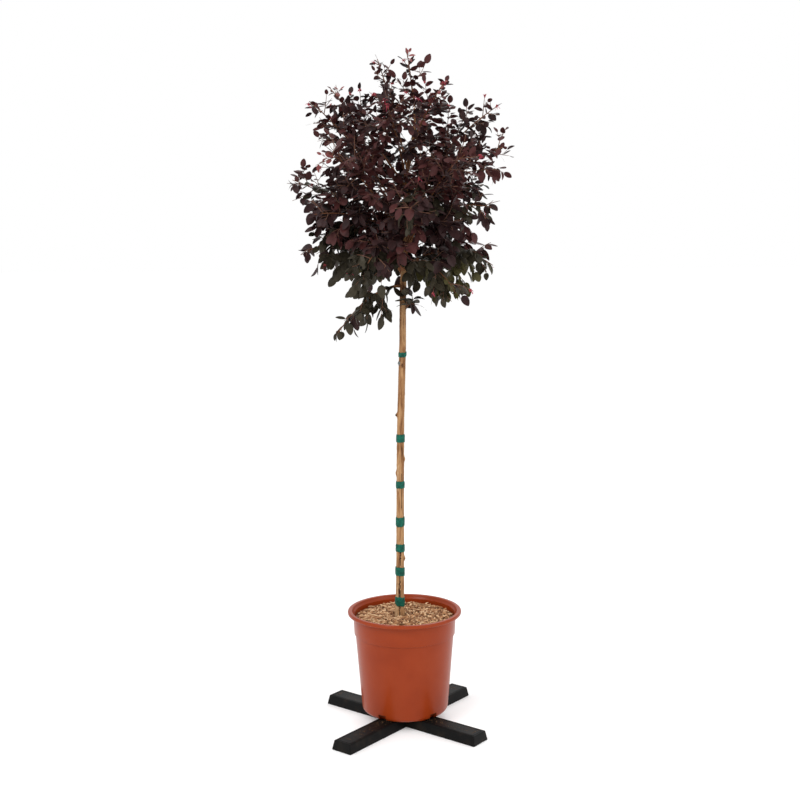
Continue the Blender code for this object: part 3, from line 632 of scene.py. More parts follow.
def bark_rise(z, turn):
    """How far the bark stands out at a height and a side: ridges, rings and knots."""
    around = Vector((math.cos(turn), math.sin(turn), 0.0))
    ridge = noise.noise(Vector((around.x * RIDGE_AROUND, around.y * RIDGE_AROUND, z * RIDGE_UP)))
    grain = noise.noise(Vector((around.x * GRAIN_AROUND, around.y * GRAIN_AROUND, z * GRAIN_UP)))
    ring = max(0.0, noise.noise(Vector((0.0, RING_SLICE, z * RING_UP)))) ** 2
    rise = BARK_RELIEF * (ridge + GRAIN_SHARE * grain + RING_SHARE * ring)
    for height, side, size, reach in KNOTS:
        along = (z - height) / reach
        if abs(along) < KNOT_FADE:
            swing = (turn - math.radians(side) + math.pi) % (2 * math.pi) - math.pi
            rise += KNOT_RISE * size * math.exp(-along * along - (swing / KNOT_WIDTH) ** 2)
    return rise


def make_trunk():
    skin = finish(
        "bark", TONES["bark"], roughness=0.80, scale=85.0, bump=1.0, bump_scale=230.0, stretch=BARK_GRAIN
    )
    heights = [float(z) for z in np.arange(TRUNK_FOOT_Z, TRUNK_TIP_Z, BARK_STEP)]
    points = []
    for z in heights:
        centre = trunk_centre(z)
        radius = trunk_radius(z)
        share = min(1.0, radius / TRUNK_HEAD_RADIUS)
        for k in range(BARK_SIDES):
            turn = 2 * math.pi * k / BARK_SIDES
            out = radius + bark_rise(z, turn) * share
            points.append((centre.x + out * math.cos(turn), centre.y + out * math.sin(turn), z))
    pile = Pile()
    pile.add(points, capped(even_rings(len(heights), BARK_SIDES)))
    trunk = pile.build("trunk_bark", skin, "bark")
    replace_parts(trunk, "trunk")
    # The furrow finish is painted shade, dark in the bark's furrows and hollows
    for kind in ("furrow", "strand", "nub"):
        patch = finish("bark_" + kind, TONES[kind], roughness=0.85, scale=120.0, bump=0.8, bump_scale=300.0)
        trunk.data.materials.append(patch)
    for face in trunk.data.polygons:
        tint_patch(face)


def tint_patch(face):
    """Give a face of the trunk the tone of the patch that it lies in, if any; the furrow tone is painted
    shade.
    """
    centre = trunk_centre(face.center.z)
    side = math.degrees(math.atan2(face.center.y - centre.y, face.center.x - centre.x)) % 360
    ragged = RAGGED * noise.noise(Vector((0.0, RAGGED_SLICE, face.center.z * RAGGED_UP)))
    for height, reach, start, stop, kind in PATCHES:
        along = (face.center.z - height) / reach
        narrow = (stop - start) / 2 * math.sqrt(max(0.0, 1 - along * along))
        if abs(along) < 1 and abs(side - (start + stop) / 2 - ragged) < narrow:
            face.material_index = kind


def make_bands():
    """Each band is wound round the trunk, with a wavy edge and a lapped end."""
    rubber = finish("band_rubber", TONES["band"], roughness=0.50, scale=130.0, bump=0.6, bump_scale=300.0)
    for number, (middle, width) in enumerate(BANDS, start=1):
        points = band_points(number, middle, width)
        inner = []
        for x, y, z in (*points[-BAND_SIDES:], *points[:BAND_SIDES]):
            centre = trunk_centre(z)
            way = Vector((x - centre.x, y - centre.y)).normalized() * (trunk_radius(z) + BAND_INNER_GAP)
            inner.append((centre.x + way.x, centre.y + way.y, z))
        rings = even_rings(BAND_ROWS + 3, BAND_SIDES)
        pile = Pile()
        pile.add(points + inner, ring_faces(rings + [rings[0]]))
        band = pile.build(f"tie_band_{number}", rubber, "band")
        band.data.set_sharp_from_angle(angle=BAND_SHARP)
        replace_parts(band, f"band_{number}")


def band_points(number, middle, width):
    """The outside of one band, row by row."""
    rng = random.Random(f"{SEED} band {number}")
    lap = rng.uniform(0, 2 * math.pi)
    slant = rng.uniform(-BAND_SLANT, BAND_SLANT)
    along, across, slice_up = BAND_CREASE_SCALES
    points = []
    for row in range(BAND_ROWS + 1):
        share = row / BAND_ROWS - 0.5
        for k in range(BAND_SIDES):
            turn = 2 * math.pi * k / BAND_SIDES
            place = Vector((math.cos(turn), math.sin(turn), middle * BAND_WAVE_SLICE)) * BAND_WAVE_SCALE
            wave = BAND_WAVE * noise.noise(place)
            wave += slant * math.cos(turn - lap)
            z = middle + share * width * BAND_FILL + wave
            centre = trunk_centre(z)
            lapped = BAND_LAP if (turn - lap) % (2 * math.pi) < BAND_LAP_TURN else 0.0
            crease = BAND_CREASE * noise.noise(Vector((turn * along, share * across, middle * slice_up)))
            edge = math.sqrt(max(0.0, 1 - (2 * abs(share)) ** BAND_EDGE_POWER))
            thick = (BAND_THICK + lapped + crease) * (BAND_EDGE + (1 - BAND_EDGE) * edge)
            out = trunk_radius(z) + BAND_GAP + thick
            points.append((centre.x + out * math.cos(turn), centre.y + out * math.sin(turn), z))
    return points


def tip_of(mass):
    turn = math.radians(mass.azimuth)
    tip = Vector((mass.reach * math.cos(turn), mass.reach * math.sin(turn), mass.height))
    start = trunk_centre(mass.fork)
    return tip + (start - tip).normalized() * min(END_SHOOT, (start - tip).length / 2)


def limb_point(mass, t):
    """A point on the arching limb that runs from the trunk, through the bough, to the mass's tip."""
    start = trunk_centre(mass.fork)
    tip = tip_of(mass)
    middle = start.lerp(tip, 0.5) + Vector((0, 0, mass.arch))
    return start * (1 - t) ** 2 + middle * 2 * t * (1 - t) + tip * t * t


def limb_path(mass, shares):
    return [limb_point(mass, float(t)) for t in shares]


def make_limbs():
    """Boughs with bark, and the stems that carry the twigs."""
    young = finish("stem_wood", TONES["stem"], roughness=0.65, scale=60.0, bump=0.4)
    boughs = Pile()
    stems = Pile()
    for mass in MASSES:
        first = 0.0
        if mass.name not in ON_TRUNK:
            first = ENTER
            root = min(trunk_radius(mass.fork) * BOUGH_ROOT_SHARE, BOUGH_ROOT_LIMIT)
            shares = np.linspace(0.0, ENTER, BOUGH_RINGS)
            radii = [root + (STEM_RADIUS - root) * s / ENTER for s in shares]
            collar = [1 + COLLAR_SWELL * math.exp(-s / ENTER * COLLAR_FADE) for s in shares]
            swollen = [r * c for r, c in zip(radii, collar)]
            boughs.add(*tube(limb_path(mass, shares), swollen, BOUGH_SIDES, BOUGH_WOBBLE))
        shares = np.linspace(first, 1.0, STEM_RINGS)
        radii = np.linspace(STEM_RADIUS, STEM_TIP_RADIUS, STEM_RINGS)
        stems.add(*tube(limb_path(mass, shares), radii, STEM_SIDES, STEM_WOBBLE))
    rough = finish("bough_bark", TONES["bough"], roughness=0.80, scale=85.0, bump=0.9, bump_scale=230.0)
    wood = boughs.build("boughs_bark", rough, "bark")
    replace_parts(wood, *[name for name in NODES if name.startswith("bough_")])
    stems.build("stems", young, "bark")


def curve_path(root, ahead, length, bend, rng, steps):
    """A twig that leaves straight, bends up or down towards its end, and wanders a little."""
    lift = Vector((0, 0, bend * length))
    drift = random_way(rng, (-1, 1), (-1, 1), (-DRIFT_UP, DRIFT_UP)) * length * TWIG_DRIFT
    path = []
    for t in np.linspace(0.0, 1.0, steps):
        t = float(t)
        path.append(root + ahead * length * t + lift * t * t + drift * math.sin(t * math.pi))
    return path


def along_path(path, t):
    """The place and the direction at share t of a path with even steps."""
    place = t * (len(path) - 1)
    j = min(int(place), len(path) - 2)
    return path[j].lerp(path[j + 1], place - j), (path[j + 1] - path[j]).normalized()


def leaning(ahead, turn, angle):
    """The direction that leaves another at an angle, at a turn round it."""
    side = ahead.orthogonal().normalized()
    around = side * math.cos(turn) + ahead.cross(side) * math.sin(turn)
    return (ahead * math.cos(angle) + around * math.sin(angle)).normalized()


def outline_reach(z):
    heights, radii = zip(*OUTLINE)
    return float(np.interp(z, heights, radii)) + OUTLINE_SLACK


def in_outline(spot):
    return math.hypot(spot.x, spot.y) < outline_reach(spot.z)


def clear_of_trunk(spot):
    if spot.z > TRUNK_TIP_Z or spot.z < TRUNK_FOOT_Z:
        return True
    centre = trunk_centre(spot.z)
    return math.hypot(spot.x - centre.x, spot.y - centre.y) > trunk_radius(spot.z) + LEAF_CLEAR


def half_width(t):
    """Half width of the blade along it, as a share of its widest: a short stalk, then a blunt oval."""
    stalk = STATIONS[1]
    if t <= stalk:
        return STALK_WIDTH
    share = (t - stalk) / (1 - stalk)
    if share < 1:
        return max(STALK_WIDTH, math.sin(math.pi * share**BLADE_SKEW) ** BLADE_BLUNT)
    return TIP_WIDTH


def leaf_faces():
    width = len(COLUMNS)
    corners = [row * width + k for row in range(len(STATIONS) - 1) for k in range(width - 1)]
    return [(a, a + 1, a + width + 1, a + width) for a in corners]


LEAF_FACES = leaf_faces()
HALF_WIDTHS = tuple(half_width(t) for t in STATIONS)


def leaf_points(root, ahead, face, length, broad, curl, cup):
    side = ahead.cross(face).normalized()
    face = side.cross(ahead).normalized()
    points = []
    for t, half in zip(STATIONS, HALF_WIDTHS):
        turn = curl * t
        reach = math.sin(turn) / curl if abs(curl) > LEAF_FLAT else t
        drop = (1 - math.cos(turn)) / curl if abs(curl) > LEAF_FLAT else 0.0
        middle = root + ahead * length * reach - face * length * drop
        out = half * length * broad / 2
        for column in COLUMNS:
            points.append(middle + side * out * column + face * cup * out * abs(column) ** CUP_POWER)
    return points


def tone_of(spot, outer, rng):
    """The tone of a spray, by its height and how far out it stands."""
    high = (spot.z - TONE_FOOT) / TONE_SPAN
    draw = rng.random()
    if outer > YOUNG_OUTER and high > YOUNG_FROM and draw < YOUNG_SHARE:
        return "mauve"
    if high > UPPER:
        return "plum" if draw < UPPER_PLUM else "wine"
    if high > LOWER:
        return "wine" if draw < MIDDLE_WINE else ("plum" if draw < MIDDLE_PLUM else "umber")
    if draw < LOWER_MOSS:
        return "moss"
    return "umber" if draw < LOWER_UMBER else "wine"


class Crown:
    """Twigs and leaves of the crown, gathered by kind and tone."""

    def __init__(self):
        self.twigs = Pile()
        self.leaves = {tone: Pile() for tone in LEAF_TONES}
        self.tips = []

    def grow(self, mass):
        """Twigs leave a limb in a spiral, longest near its foot, and leaves cover its outer part."""
        rng = random.Random(f"{SEED} crown {mass.name}")
        first = ENTER if mass.name not in ON_TRUNK else TRUNK_BARE
        length = (tip_of(mass) - limb_point(mass, first)).length
        gap = TWIG_GAP * (SPARSE_GAP if mass.name in SPARSE else 1.0)
        count = max(FEWEST_TWIGS, round(length / gap))
        turn = rng.uniform(0, 2 * math.pi)
        for k in range(count):
            s = FIRST_TWIG + (LAST_TWIG - FIRST_TWIG) * (k + rng.uniform(*JITTER)) / count
            t = first + (1 - first) * s
            here = limb_point(mass, t)
            if not clear_of_trunk(here):
                continue
            ahead = limb_point(mass, min(t + LOOK_AHEAD, 1.0)) - limb_point(mass, t - LOOK_AHEAD)
            angle = TWIG_ANGLE * rng.uniform(*TWIG_LEAN)
            outward = leaning(ahead.normalized(), turn, angle)
            turn += TWIG_TURN
            full = mass.spread * (1 - TWIG_TAPER * s) * rng.uniform(*TWIG_SIZES)
            full *= 1 - HIGH_TRIM * share_of(here.z, HIGH_CROWN, HIGH_TRIM_SPAN)
            while full > TWIG_SHORTEST and not in_outline(here + outward * full):
                full *= TWIG_SHORTEN
            self.twig(mass, here, outward, full, s, rng)
        bare = LOW_BARE if mass.bend < 0 else HIGH_BARE
        end = limb_path(mass, np.linspace(bare, 1.0, END_RINGS))
        self.dress(end, tone_of(end[-1], 1.0, rng), mass, 1.0, rng, 0.0)
        self.note_tip(end)

    def twig(self, mass, here, outward, full, s, rng):
        """One twig with its leaves, and the finer twigs that leave it."""
        path = curve_path(here, outward, full, mass.bend, rng, TWIG_RINGS)
        radii = np.linspace(TWIG_RADIUS, TWIG_TIP_RADIUS, TWIG_RINGS)
        self.twigs.add(*tube(path, radii, TWIG_SIDES))
        tone = tone_of(path[-1], s, rng)
        self.dress(path, tone, mass, s, rng, TWIG_BARE)
        self.note_tip(path)
        count = int(full / FINE_GAP)
        turn = rng.uniform(0, 2 * math.pi)
        for k in range(count):
            t = FINE_FIRST + FINE_SPAN * (k + rng.uniform(*JITTER)) / max(count, 1)
            root, ahead = along_path(path, t)
            way = leaning(ahead, turn, FINE_ANGLE)
            turn += TWIG_TURN
            reach = full * FINE_SHARE * (1 - FINE_TAPER * t) * rng.uniform(*FINE_SIZES)
            fine = curve_path(root, way, reach, mass.bend, rng, FINE_RINGS)
            radii = np.linspace(TWIG_RADIUS * FINE_THIN, TWIG_TIP_RADIUS, FINE_RINGS)
            self.twigs.add(*tube(fine, radii, FINE_SIDES))
            self.dress(fine, tone, mass, s, rng, FINE_BARE)

    def note_tip(self, path):
        """Note the end of a path, where a blossom may stand."""
        self.tips.append((path[-1], (path[-1] - path[-2]).normalized()))

    def dress(self, path, tone, mass, outer, rng, first):
        """Leaves stand alternately along a twig, and one ends it."""
        length = sum((b - a).length for a, b in zip(path, path[1:]))
        count = max(1, round(length * (1 - first) / LEAF_GAP))
        hand = rng.choice((-1, 1))
        for k in range(count + 1):
            t = first + (LAST_LEAF - first) * k / count
            root, ahead = along_path(path, t)
            hand = -hand
            self.leaf(root, ahead, 0 if k == count else hand, tone, mass, outer, t, rng)

    def leaf(self, root, ahead, hand, tone, mass, outer, t, rng):
        """One leaf, left out at random near the outline, and always beyond it or in the trunk."""
        turn = rng.uniform(0, 2 * math.pi)
        tilt = rng.uniform(*LEAF_TILT)
        up = Vector((tilt * math.cos(turn), tilt * math.sin(turn), LEAF_UP)).normalized()
        side = ahead.cross(up).normalized()
        spin = rng.uniform(-LEAF_SPIN, LEAF_SPIN)
        side = (side * math.cos(spin) + ahead.cross(side) * math.sin(spin)).normalized()
        angle = LEAF_ANGLE * abs(hand) * rng.uniform(*LEAF_LEAN)
        outward = (ahead * math.cos(angle) + side * hand * math.sin(angle)).normalized()
        sag = LOW_SAG if mass.bend < 0 else HIGH_SAG
        outward = (outward - Vector((0, 0, sag * rng.uniform(*SAG_RANGE)))).normalized()
        face = (up - outward * up.dot(outward)).normalized()
        size = rng.uniform(*LEAF_LENGTH) * (1 - TIP_SHRINK * (outer * t) ** 2)
        size *= 1 - HIGH_SHRINK * share_of(root.z, LOW_CROWN, HIGH_CROWN - LOW_CROWN)
        if tone == "mauve":
            size *= YOUNG_SIZE
        broad, curl, cup = (rng.uniform(*limits) for limits in (LEAF_BROAD, LEAF_CURL, LEAF_CUP))
        points = leaf_points(root, outward, face, size, broad, curl, cup)
        tip = points[LEAF_TIP]
        edge = tip.to_2d().length / outline_reach(tip.z)
        if rng.random() < EDGE_THIN * (edge - EDGE_START) / (1 - EDGE_START):
            return
        if in_outline(tip) and clear_of_trunk(tip) and clear_of_trunk(points[LEAF_MIDDLE]):
            self.leaves[tone].add([tuple(p) for p in points], LEAF_FACES)


def add_buds(pile, root, ahead, rng):
    """A small cluster of buds."""
    for _ in range(rng.randint(*BUD_COUNT)):
        spot = root + random_way(rng, (-1, 1), (-1, 1), (-1, 1)) * BUD_SCATTER
        size = rng.uniform(*BUD_SIZE)
        path = [spot + ahead * size * t for t in BUD_PLACES]
        pile.add(*tube(path, [size * r for r in BUD_RADII], BUD_SIDES))


def add_straps(pile, root, ahead, rng):
    """A tassel of narrow drooping straps."""
    for _ in range(rng.randint(*STRAP_COUNT)):
        way = random_way(rng, (-1, 1), (-1, 1), (-1, STRAP_UP)).normalized()
        way = (way + ahead * STRAP_FORWARD).normalized()
        side = way.orthogonal().normalized() * STRAP_WIDTH
        length = rng.uniform(*STRAP_LENGTH)
        droop = Vector((0, 0, -1)) * length
        twist = rng.uniform(-STRAP_TWIST, STRAP_TWIST)
        points = []
        for t in STRAP_PLACES:
            middle = root + way * length * t + droop * STRAP_DROOP * t * t
            half = side * (STRAP_ROOT - STRAP_TAPER * t)
            points += [middle + half + way.cross(side) * twist * t, middle - half]
        faces = [(2 * k, 2 * k + 1, 2 * k + 3, 2 * k + 2) for k in range(len(STRAP_PLACES) - 1)]
        pile.add([tuple(p) for p in points], faces)


def make_crown():
    crown = Crown()
    for mass in MASSES:
        crown.grow(mass)
    foliage = [name for name in NODES if name.startswith("foliage_")]
    young = finish("young_wood", TONES["twig"], roughness=0.65, scale=60.0, bump=0.3)
    twigs = crown.twigs.build("twigs", young, "foliage")
    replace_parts(twigs, *foliage)
    for tone, tones in LEAF_TONES.items():
        if crown.leaves[tone].count:
            skin = finish(
                "leaf_" + tone, tones, roughness=0.50, scale=45.0, bump=0.35, bump_scale=260.0, sheen=SHEEN
            )
            piece = crown.leaves[tone].build("leaves_" + tone, skin, "foliage")
            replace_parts(piece, *foliage)
    make_blossom(crown.tips)


def make_blossom(tips):
    """Buds and straps at some of the twigs' tips, most of them high in the crown."""
    straps = Pile()
    buds = Pile()
    rng = random.Random(f"{SEED} blossom")
    for spot, ahead in tips:
        chance = HIGH_CHANCE if spot.z > HIGH_BLOSSOM else LOW_CHANCE
        if rng.random() < chance and in_outline(spot + ahead * BLOSSOM_REACH):
            add_buds(buds, spot, ahead, rng)
            add_straps(straps, spot, ahead, rng)
    pink = finish("petal", TONES["petal"], roughness=0.55, scale=120.0)
    dusk = finish("bud", TONES["bud"], roughness=0.60, scale=200.0, bump=0.2)
    straps.build("blossom_straps", pink, "foliage")
    buds.build("blossom_buds", dusk, "foliage")


def wall_radius(z):
    share = (z - BAR_HEIGHT) / (COLLAR_Z - BAR_HEIGHT)
    return POT_BASE_RADIUS + (WALL_TOP_RADIUS - POT_BASE_RADIUS) * share


def arc(x, z, radius, start, end, steps):
    """Points on an arc round (x, z), between two angles in degrees."""
    turns = [math.radians(float(a)) for a in np.linspace(start, end, steps)]
    return [(x + radius * math.cos(a), z + radius * math.sin(a)) for a in turns]


def pot_profile():
    """The pot's section, from the axis under the floor, up the outside and down the inside."""
    floor_z = POT_BASE_Z + FLOOR_RISE + FLOOR_THICK
    corner = wall_radius(POT_BASE_Z + POT_CORNER) - POT_CORNER
    rim = RIM_RADIUS - RIM_ROUND
    shoulder = COLLAR_Z - POT_WALL
    profile = [
        (0.0, POT_BASE_Z + FLOOR_RISE),
        (SKIRT_INSIDE - POT_WALL, POT_BASE_Z + FLOOR_RISE),
        (SKIRT_INSIDE, POT_BASE_Z),
    ]
    profile += arc(corner, POT_BASE_Z + POT_CORNER, POT_CORNER, -90, 0, CORNER_STEPS)
    heights = np.linspace(POT_BASE_Z + POT_CORNER * WALL_START, COLLAR_Z - WALL_END, WALL_ROWS)
    profile += [(wall_radius(z), z) for z in heights]
    profile += [
        (WALL_TOP_RADIUS, COLLAR_Z - COLLAR_FOOT),
        (WALL_TOP_RADIUS + COLLAR_EDGE, COLLAR_Z),
        (COLLAR_RADIUS - COLLAR_BEVEL, COLLAR_Z + COLLAR_BEVEL),
        (COLLAR_RADIUS, COLLAR_Z + COLLAR_TURN),
        (COLLAR_TOP_RADIUS, LIP_Z - LIP_TURN),
        (COLLAR_TOP_RADIUS + COLLAR_EDGE, LIP_Z),
        (rim - LIP_UNDERCUT, LIP_Z),
    ]
    profile += arc(rim, LIP_Z + RIM_ROUND, RIM_ROUND, -90, 0, LIP_STEPS)
    profile += arc(rim, RIM_Z - RIM_ROUND, RIM_ROUND, 0, 90, RIM_STEPS)
    profile += arc(RIM_INSIDE + RIM_ROUND, RIM_Z - RIM_ROUND, RIM_ROUND, 90, 180, RIM_STEPS)
    return profile + [
        (COLLAR_TOP_RADIUS - POT_WALL, LIP_Z),
        (COLLAR_RADIUS - POT_WALL, COLLAR_Z),
        (wall_radius(shoulder) - POT_WALL, shoulder),
        (wall_radius(floor_z) - POT_WALL, floor_z),
        (0.0, floor_z),
    ]


def make_pot():
    points = []
    rings = []
    for radius, z in pot_profile():
        if radius == 0.0:
            rings.append([len(points)] * POT_STEPS)
            points.append((0.0, 0.0, z))
            continue
        rings.append([len(points) + k for k in range(POT_STEPS)])
        for k in range(POT_STEPS):
            turn = 2 * math.pi * k / POT_STEPS
            points.append((radius * math.cos(turn), radius * math.sin(turn), float(z)))
    plastic = finish("pot_plastic", TONES["pot"], roughness=0.30, scale=9.0, bump=0.08, bump_scale=700.0)
    pile = Pile()
    pile.add(points, ring_faces(rings))
    pot = pile.build("pot_moulded", plastic, "pot")
    shape = bmesh.new()
    shape.from_mesh(pot.data)
    bmesh.ops.recalc_face_normals(shape, faces=shape.faces)
    shape.to_mesh(pot.data)
    shape.free()
    for k in range(DRAIN_COUNT):
        cut_drain(pot, DRAIN_FIRST + 2 * math.pi * k / DRAIN_COUNT)
    pot.data.shade_smooth()
    pot.data.set_sharp_from_angle(angle=POT_CREASE)
    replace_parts(pot, "pot")


def cut_drain(pot, turn):
    """A notch in the foot of the pot's wall, slightly narrower at its top."""
    bpy.ops.mesh.primitive_cube_add(size=1.0)
    drain = bpy.context.active_object
    middle = wall_radius(POT_BASE_Z) - DRAIN_DEPTH / 4
    for corner in drain.data.vertices:
        corner.co.x = corner.co.x * DRAIN_DEPTH + middle
        corner.co.y *= DRAIN_WIDTH * (DRAIN_NARROW if corner.co.z > 0 else 1.0)
        corner.co.z = POT_BASE_Z + (DRAIN_HEIGHT if corner.co.z > 0 else -POT_CORNER)
    drain.data.transform(Matrix.Rotation(turn, 4, "Z"))
    modifier = pot.modifiers.new("drain", "BOOLEAN")
    modifier.operation = "DIFFERENCE"
    modifier.object = drain
    graph = bpy.context.evaluated_depsgraph_get()
    mesh = bpy.data.meshes.new_from_object(pot.evaluated_get(graph))
    pot.modifiers.clear()
    pot.data = mesh
    bpy.data.objects.remove(drain)


def inside_radius(z):
    return float(np.interp(z, (COLLAR_Z, LIP_Z), (COLLAR_RADIUS, COLLAR_TOP_RADIUS))) - POT_WALL


def mulch_height(x, y):
    radius = math.hypot(x, y)
    heap = MULCH_HEAP * (1 - (radius / RIM_INSIDE) ** 2)
    coarse = noise.noise(Vector((x, y, 0.0)) * MULCH_COARSE)
    fine = noise.noise(Vector((x, y, MULCH_FINE_SLICE)) * MULCH_FINE)
    return MULCH_EDGE_Z + heap + MULCH_LUMPS * (coarse + MULCH_FINE_SHARE * fine)


def make_mulch():
    """A crumbly bed round the trunk's foot, flat below."""
    foot = trunk_centre(MULCH_EDGE_Z)
    hole = trunk_radius(TRUNK_FOOT_Z) * MULCH_HOLE
    edge = inside_radius(MULCH_LOW) - MULCH_GAP
    points = []
    for row in range(MULCH_ROWS + 1):
        share = row / MULCH_ROWS
        for k in range(MULCH_STEPS):
            turn = 2 * math.pi * k / MULCH_STEPS
            way = Vector((math.cos(turn), math.sin(turn)))
            spot = (foot.to_2d() + way * hole).lerp(way * edge, share)
            place = Vector((spot.x, spot.y, MULCH_CRUMB_SLICE)) * MULCH_CRUMB_SCALE
            crumbs = MULCH_CRUMBS * noise.noise(place)
            points.append((spot.x, spot.y, mulch_height(spot.x, spot.y) + crumbs))
    for row in (MULCH_ROWS, 0):
        above = points[row * MULCH_STEPS:(row + 1) * MULCH_STEPS]
        points += [(x, y, MULCH_LOW) for x, y, _ in above]
    rings = even_rings(MULCH_ROWS + 3, MULCH_STEPS)
    bed = Pile()
    bed.add(points, ring_faces(rings + [rings[0]]))
    soil = finish("mulch_fines", TONES["fines"], roughness=0.9, scale=110.0, bump=1.0)
    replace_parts(bed.build("mulch_bed", soil, "mulch"), "mulch")


def make_chips():
    piles = {kind: Pile() for kind in CHIP_TONES}
    rng = random.Random(f"{SEED} chips")
    for _ in range(CHIP_COUNT):
        add_chip(piles, rng)
    for kind, tones in CHIP_TONES.items():
        grain = finish(
            "chip_" + kind, tones, roughness=0.85, scale=90.0, bump=0.9, bump_scale=420.0, stretch=CHIP_GRAIN
        )
        piles[kind].build("chips_" + kind, grain, "mulch", smooth=False)


def add_chip(piles, rng):
    """One wood chip: a thin bent sliver with ragged ends, lying on the mulch."""
    radius = (inside_radius(MULCH_EDGE_Z) - CHIP_EDGE) * math.sqrt(rng.random())
    turn = rng.uniform(0, 2 * math.pi)
    x, y = radius * math.cos(turn), radius * math.sin(turn)
    foot = trunk_centre(MULCH_EDGE_Z)
    if math.hypot(x - foot.x, y - foot.y) < CHIP_TRUNK:
        return
    length = rng.uniform(*CHIP_LENGTH)
    width = rng.uniform(*CHIP_WIDTH)
    thick = rng.uniform(*CHIP_THICK)
    bow = rng.uniform(*CHIP_BOW) * length
    place = Matrix.Translation((x, y, mulch_height(x, y) + rng.uniform(*CHIP_LIFT)))
    place @= Matrix.Rotation(rng.uniform(0, 2 * math.pi), 4, "Z")
    place @= Matrix.Rotation(rng.gauss(0, CHIP_PITCH), 4, "Y")
    place @= Matrix.Rotation(rng.gauss(0, CHIP_ROLL), 4, "X")
    points = []
    for s in CHIP_STATIONS:
        narrow = CHIP_END if abs(s) == 0.5 else 1.0
        half = width / 2 * narrow * rng.uniform(*CHIP_RAGGED)
        lift = bow * (1 - 4 * s * s)
        slant = rng.uniform(-CHIP_SLANT, CHIP_SLANT)
        for a, b in ((-1, -1), (1, -1), (1, 1), (-1, 1)):
            corner = Vector((s * length + slant * a, half * a, lift + thick / 2 * b * (0.5 + narrow / 2)))
            points.append(tuple(place @ corner))
    draw = rng.random()
    kind = "pale" if draw < PALE_CHIPS else ("tan" if draw < TAN_CHIPS else "dark")
    piles[kind].add(points, capped(even_rings(len(CHIP_STATIONS), 4)))


def bar_frame(angle):
    """The directions along and across a bar of the stand."""
    along = Vector((math.cos(angle), math.sin(angle), 0.0))
    return along, Vector((-along.y, along.x, 0.0))


def clothe(node, skin):
    """Give a solid that is kept a finish of its own."""
    node.data.materials.clear()
    node.data.materials.append(skin)


def make_stand():
    """The bars keep their solids. A raised border line runs along each arm."""
    plastic = finish("stand_plastic", TONES["stand"], roughness=0.52, scale=26.0, bump=0.25, bump_scale=500.0)
    shader_of(plastic).inputs["Specular IOR Level"].default_value = STAND_GLOSS
    for name in ("stand_bar_lower", "stand_bar_upper"):
        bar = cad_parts[name]
        clothe(bar, plastic)
    pile = Pile()
    centre = Vector((*STAND_CENTRE, BAR_HEIGHT))
    half = BAR_WIDTH / 2 - BORDER_INSET
    start = half + BORDER_INSET + BORDER_START
    for length, angle in zip(BAR_LENGTHS, (BAR_ANGLE, BAR_ANGLE + math.pi / 2)):
        along, across = bar_frame(angle)
        end = length / 2 - BORDER_INSET
        for way in (-1, 1):
            loop = [(start, half), (end, half), (end, -half), (start, -half)]
            path = [centre + along * way * a + across * b for a, b in loop]
            for here, there in zip(path, path[1:]):
                add_rail(pile, here, there)
    pile.build("stand_border", plastic, "stand", smooth=False)


def add_rail(pile, start, stop):
    """A low ridge with sloping sides, from one point to another."""
    along = (stop - start).normalized()
    across = Vector((-along.y, along.x, 0.0))
    section = (
        (-0.5, -BORDER_SINK),
        (-BORDER_TOP, BORDER_RISE),
        (BORDER_TOP, BORDER_RISE),
        (0.5, -BORDER_SINK),
    )
    points = []
    for spot in (start - along * BORDER_WIDTH / 2, stop + along * BORDER_WIDTH / 2):
        for side, lift in section:
            points.append(tuple(spot + across * side * BORDER_WIDTH + Vector((0, 0, lift))))
    faces = [(0, 1, 5, 4), (1, 2, 6, 5), (2, 3, 7, 6), (3, 0, 4, 7), (3, 2, 1, 0), (4, 5, 6, 7)]
    pile.add(points, faces)


def make_compost():
    """Compost in the pot keeps its solid, and some of it lies spilled on the stand."""
    soil = finish("compost_soil", TONES["compost"], roughness=0.95, scale=120.0, bump=1.0)
    spilled = Pile()
    rng = random.Random(f"{SEED} spilled")
    centre = Vector((*STAND_CENTRE, BAR_HEIGHT))
    for _ in range(SPILLED):
        along, across = bar_frame(BAR_ANGLE + rng.randrange(4) * math.pi / 2)
        reach = BAR_WIDTH / 2 + rng.expovariate(1 / SPILL_REACH)
        spot = centre + along * min(reach, SPILL_LIMIT) + across * rng.gauss(0, BAR_WIDTH / SPILL_WIDTH)
        if (spot - centre).dot(across) ** 2 < (BAR_WIDTH / 2 - BORDER_INSET) ** 2:
            add_crumb(spilled, spot, rng)
    dust = finish("compost_dust", TONES["dust"], roughness=0.95, scale=200.0)
    spilled.build("spilled_compost", dust, "compost", smooth=False)
    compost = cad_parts["compost"]
    clothe(compost, soil)


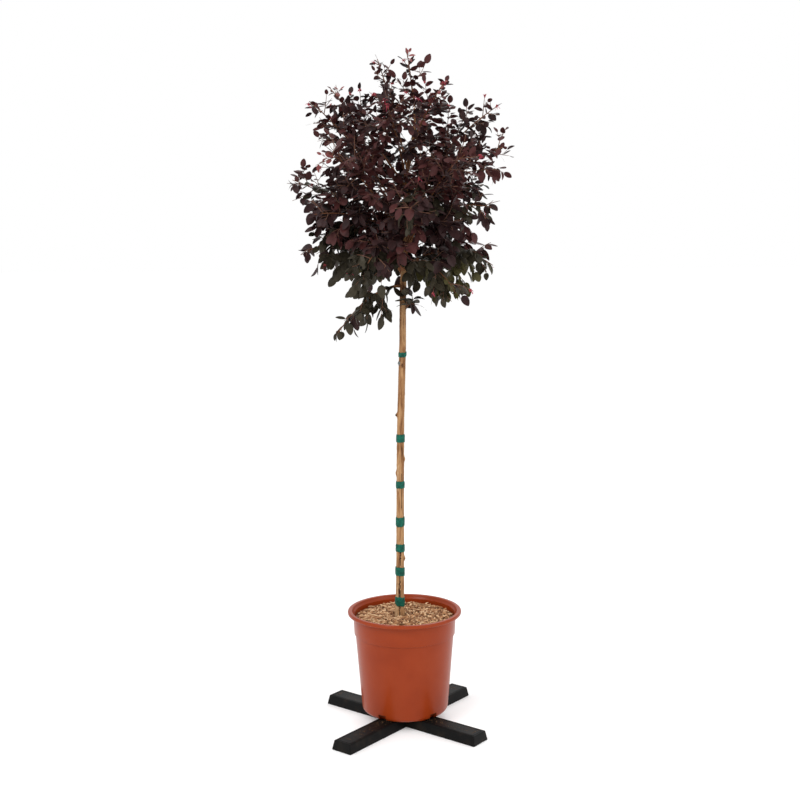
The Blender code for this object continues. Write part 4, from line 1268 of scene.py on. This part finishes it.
def add_crumb(pile, spot, rng):
    """A crumb of compost: a small uneven pyramid lying on a bar."""
    size = rng.uniform(*CRUMB_SIZE)
    turn = rng.uniform(0, 2 * math.pi)
    points = []
    for k in range(4):
        swing = turn + math.pi / 2 * k
        out = size * rng.uniform(*CRUMB_UNEVEN)
        points.append((spot.x + out * math.cos(swing), spot.y + out * math.sin(swing), spot.z - CRUMB_SINK))
    points.append((spot.x, spot.y, spot.z + size * rng.uniform(*CRUMB_HEIGHT)))
    pile.add(points, [(0, 1, 4), (1, 2, 4), (2, 3, 4), (3, 0, 4), (3, 2, 1, 0)])


def make_stage():
    """A pale floor that glows a little, so that its far edge doesn't show, and soft light."""
    bpy.ops.mesh.primitive_plane_add(size=FLOOR_SIZE, location=(0, 0, -FLOOR_DROP))
    floor = bpy.context.active_object
    floor.name = "floor"
    paper = finish("floor", TONES["floor"], roughness=1.0, scale=0.2)
    glow = shader_of(paper).inputs
    glow["Specular IOR Level"].default_value = 0.0
    glow["Emission Color"].default_value = (1.0, 1.0, 1.0, 1.0)
    glow["Emission Strength"].default_value = FLOOR_GLOW
    floor.data.materials.append(paper)
    world = bpy.data.worlds.new("studio")
    bpy.context.scene.world = world
    world.use_nodes = True
    sky = world.node_tree.nodes["Background"].inputs
    sky["Color"].default_value = (1.0, 1.0, 1.0, 1.0)
    sky["Strength"].default_value = SKY_STRENGTH
    for name, spot, power, size in LAMPS:
        light = bpy.data.lights.new(name, "AREA")
        light.energy = power
        light.size = size
        lamp = bpy.data.objects.new(name, light)
        lamp.location = spot
        aim = Vector(LAMP_AIM) - Vector(spot)
        lamp.rotation_euler = aim.to_track_quat("-Z", "Y").to_euler()
        bpy.context.scene.collection.objects.link(lamp)


def make_camera():
    lens = bpy.data.cameras.new("camera")
    lens.lens = CAMERA_LENS
    lens.shift_x = CAMERA_SHIFT
    camera = bpy.data.objects.new("camera", lens)
    bpy.context.scene.collection.objects.link(camera)
    turn = Matrix.Rotation(math.pi / 2 - CAMERA_PITCH, 4, "X") @ Matrix.Rotation(CAMERA_ROLL, 4, "Z")
    camera.matrix_world = Matrix.Translation((0, -CAMERA_BACK, CAMERA_HEIGHT)) @ turn
    bpy.context.scene.camera = camera
    bpy.context.scene.view_settings.view_transform = "Standard"


def main():
    make_camera()
    make_stage()
    make_stand()
    make_compost()
    make_pot()
    make_mulch()
    make_chips()
    make_trunk()
    make_bands()
    make_limbs()
    make_crown()


main()
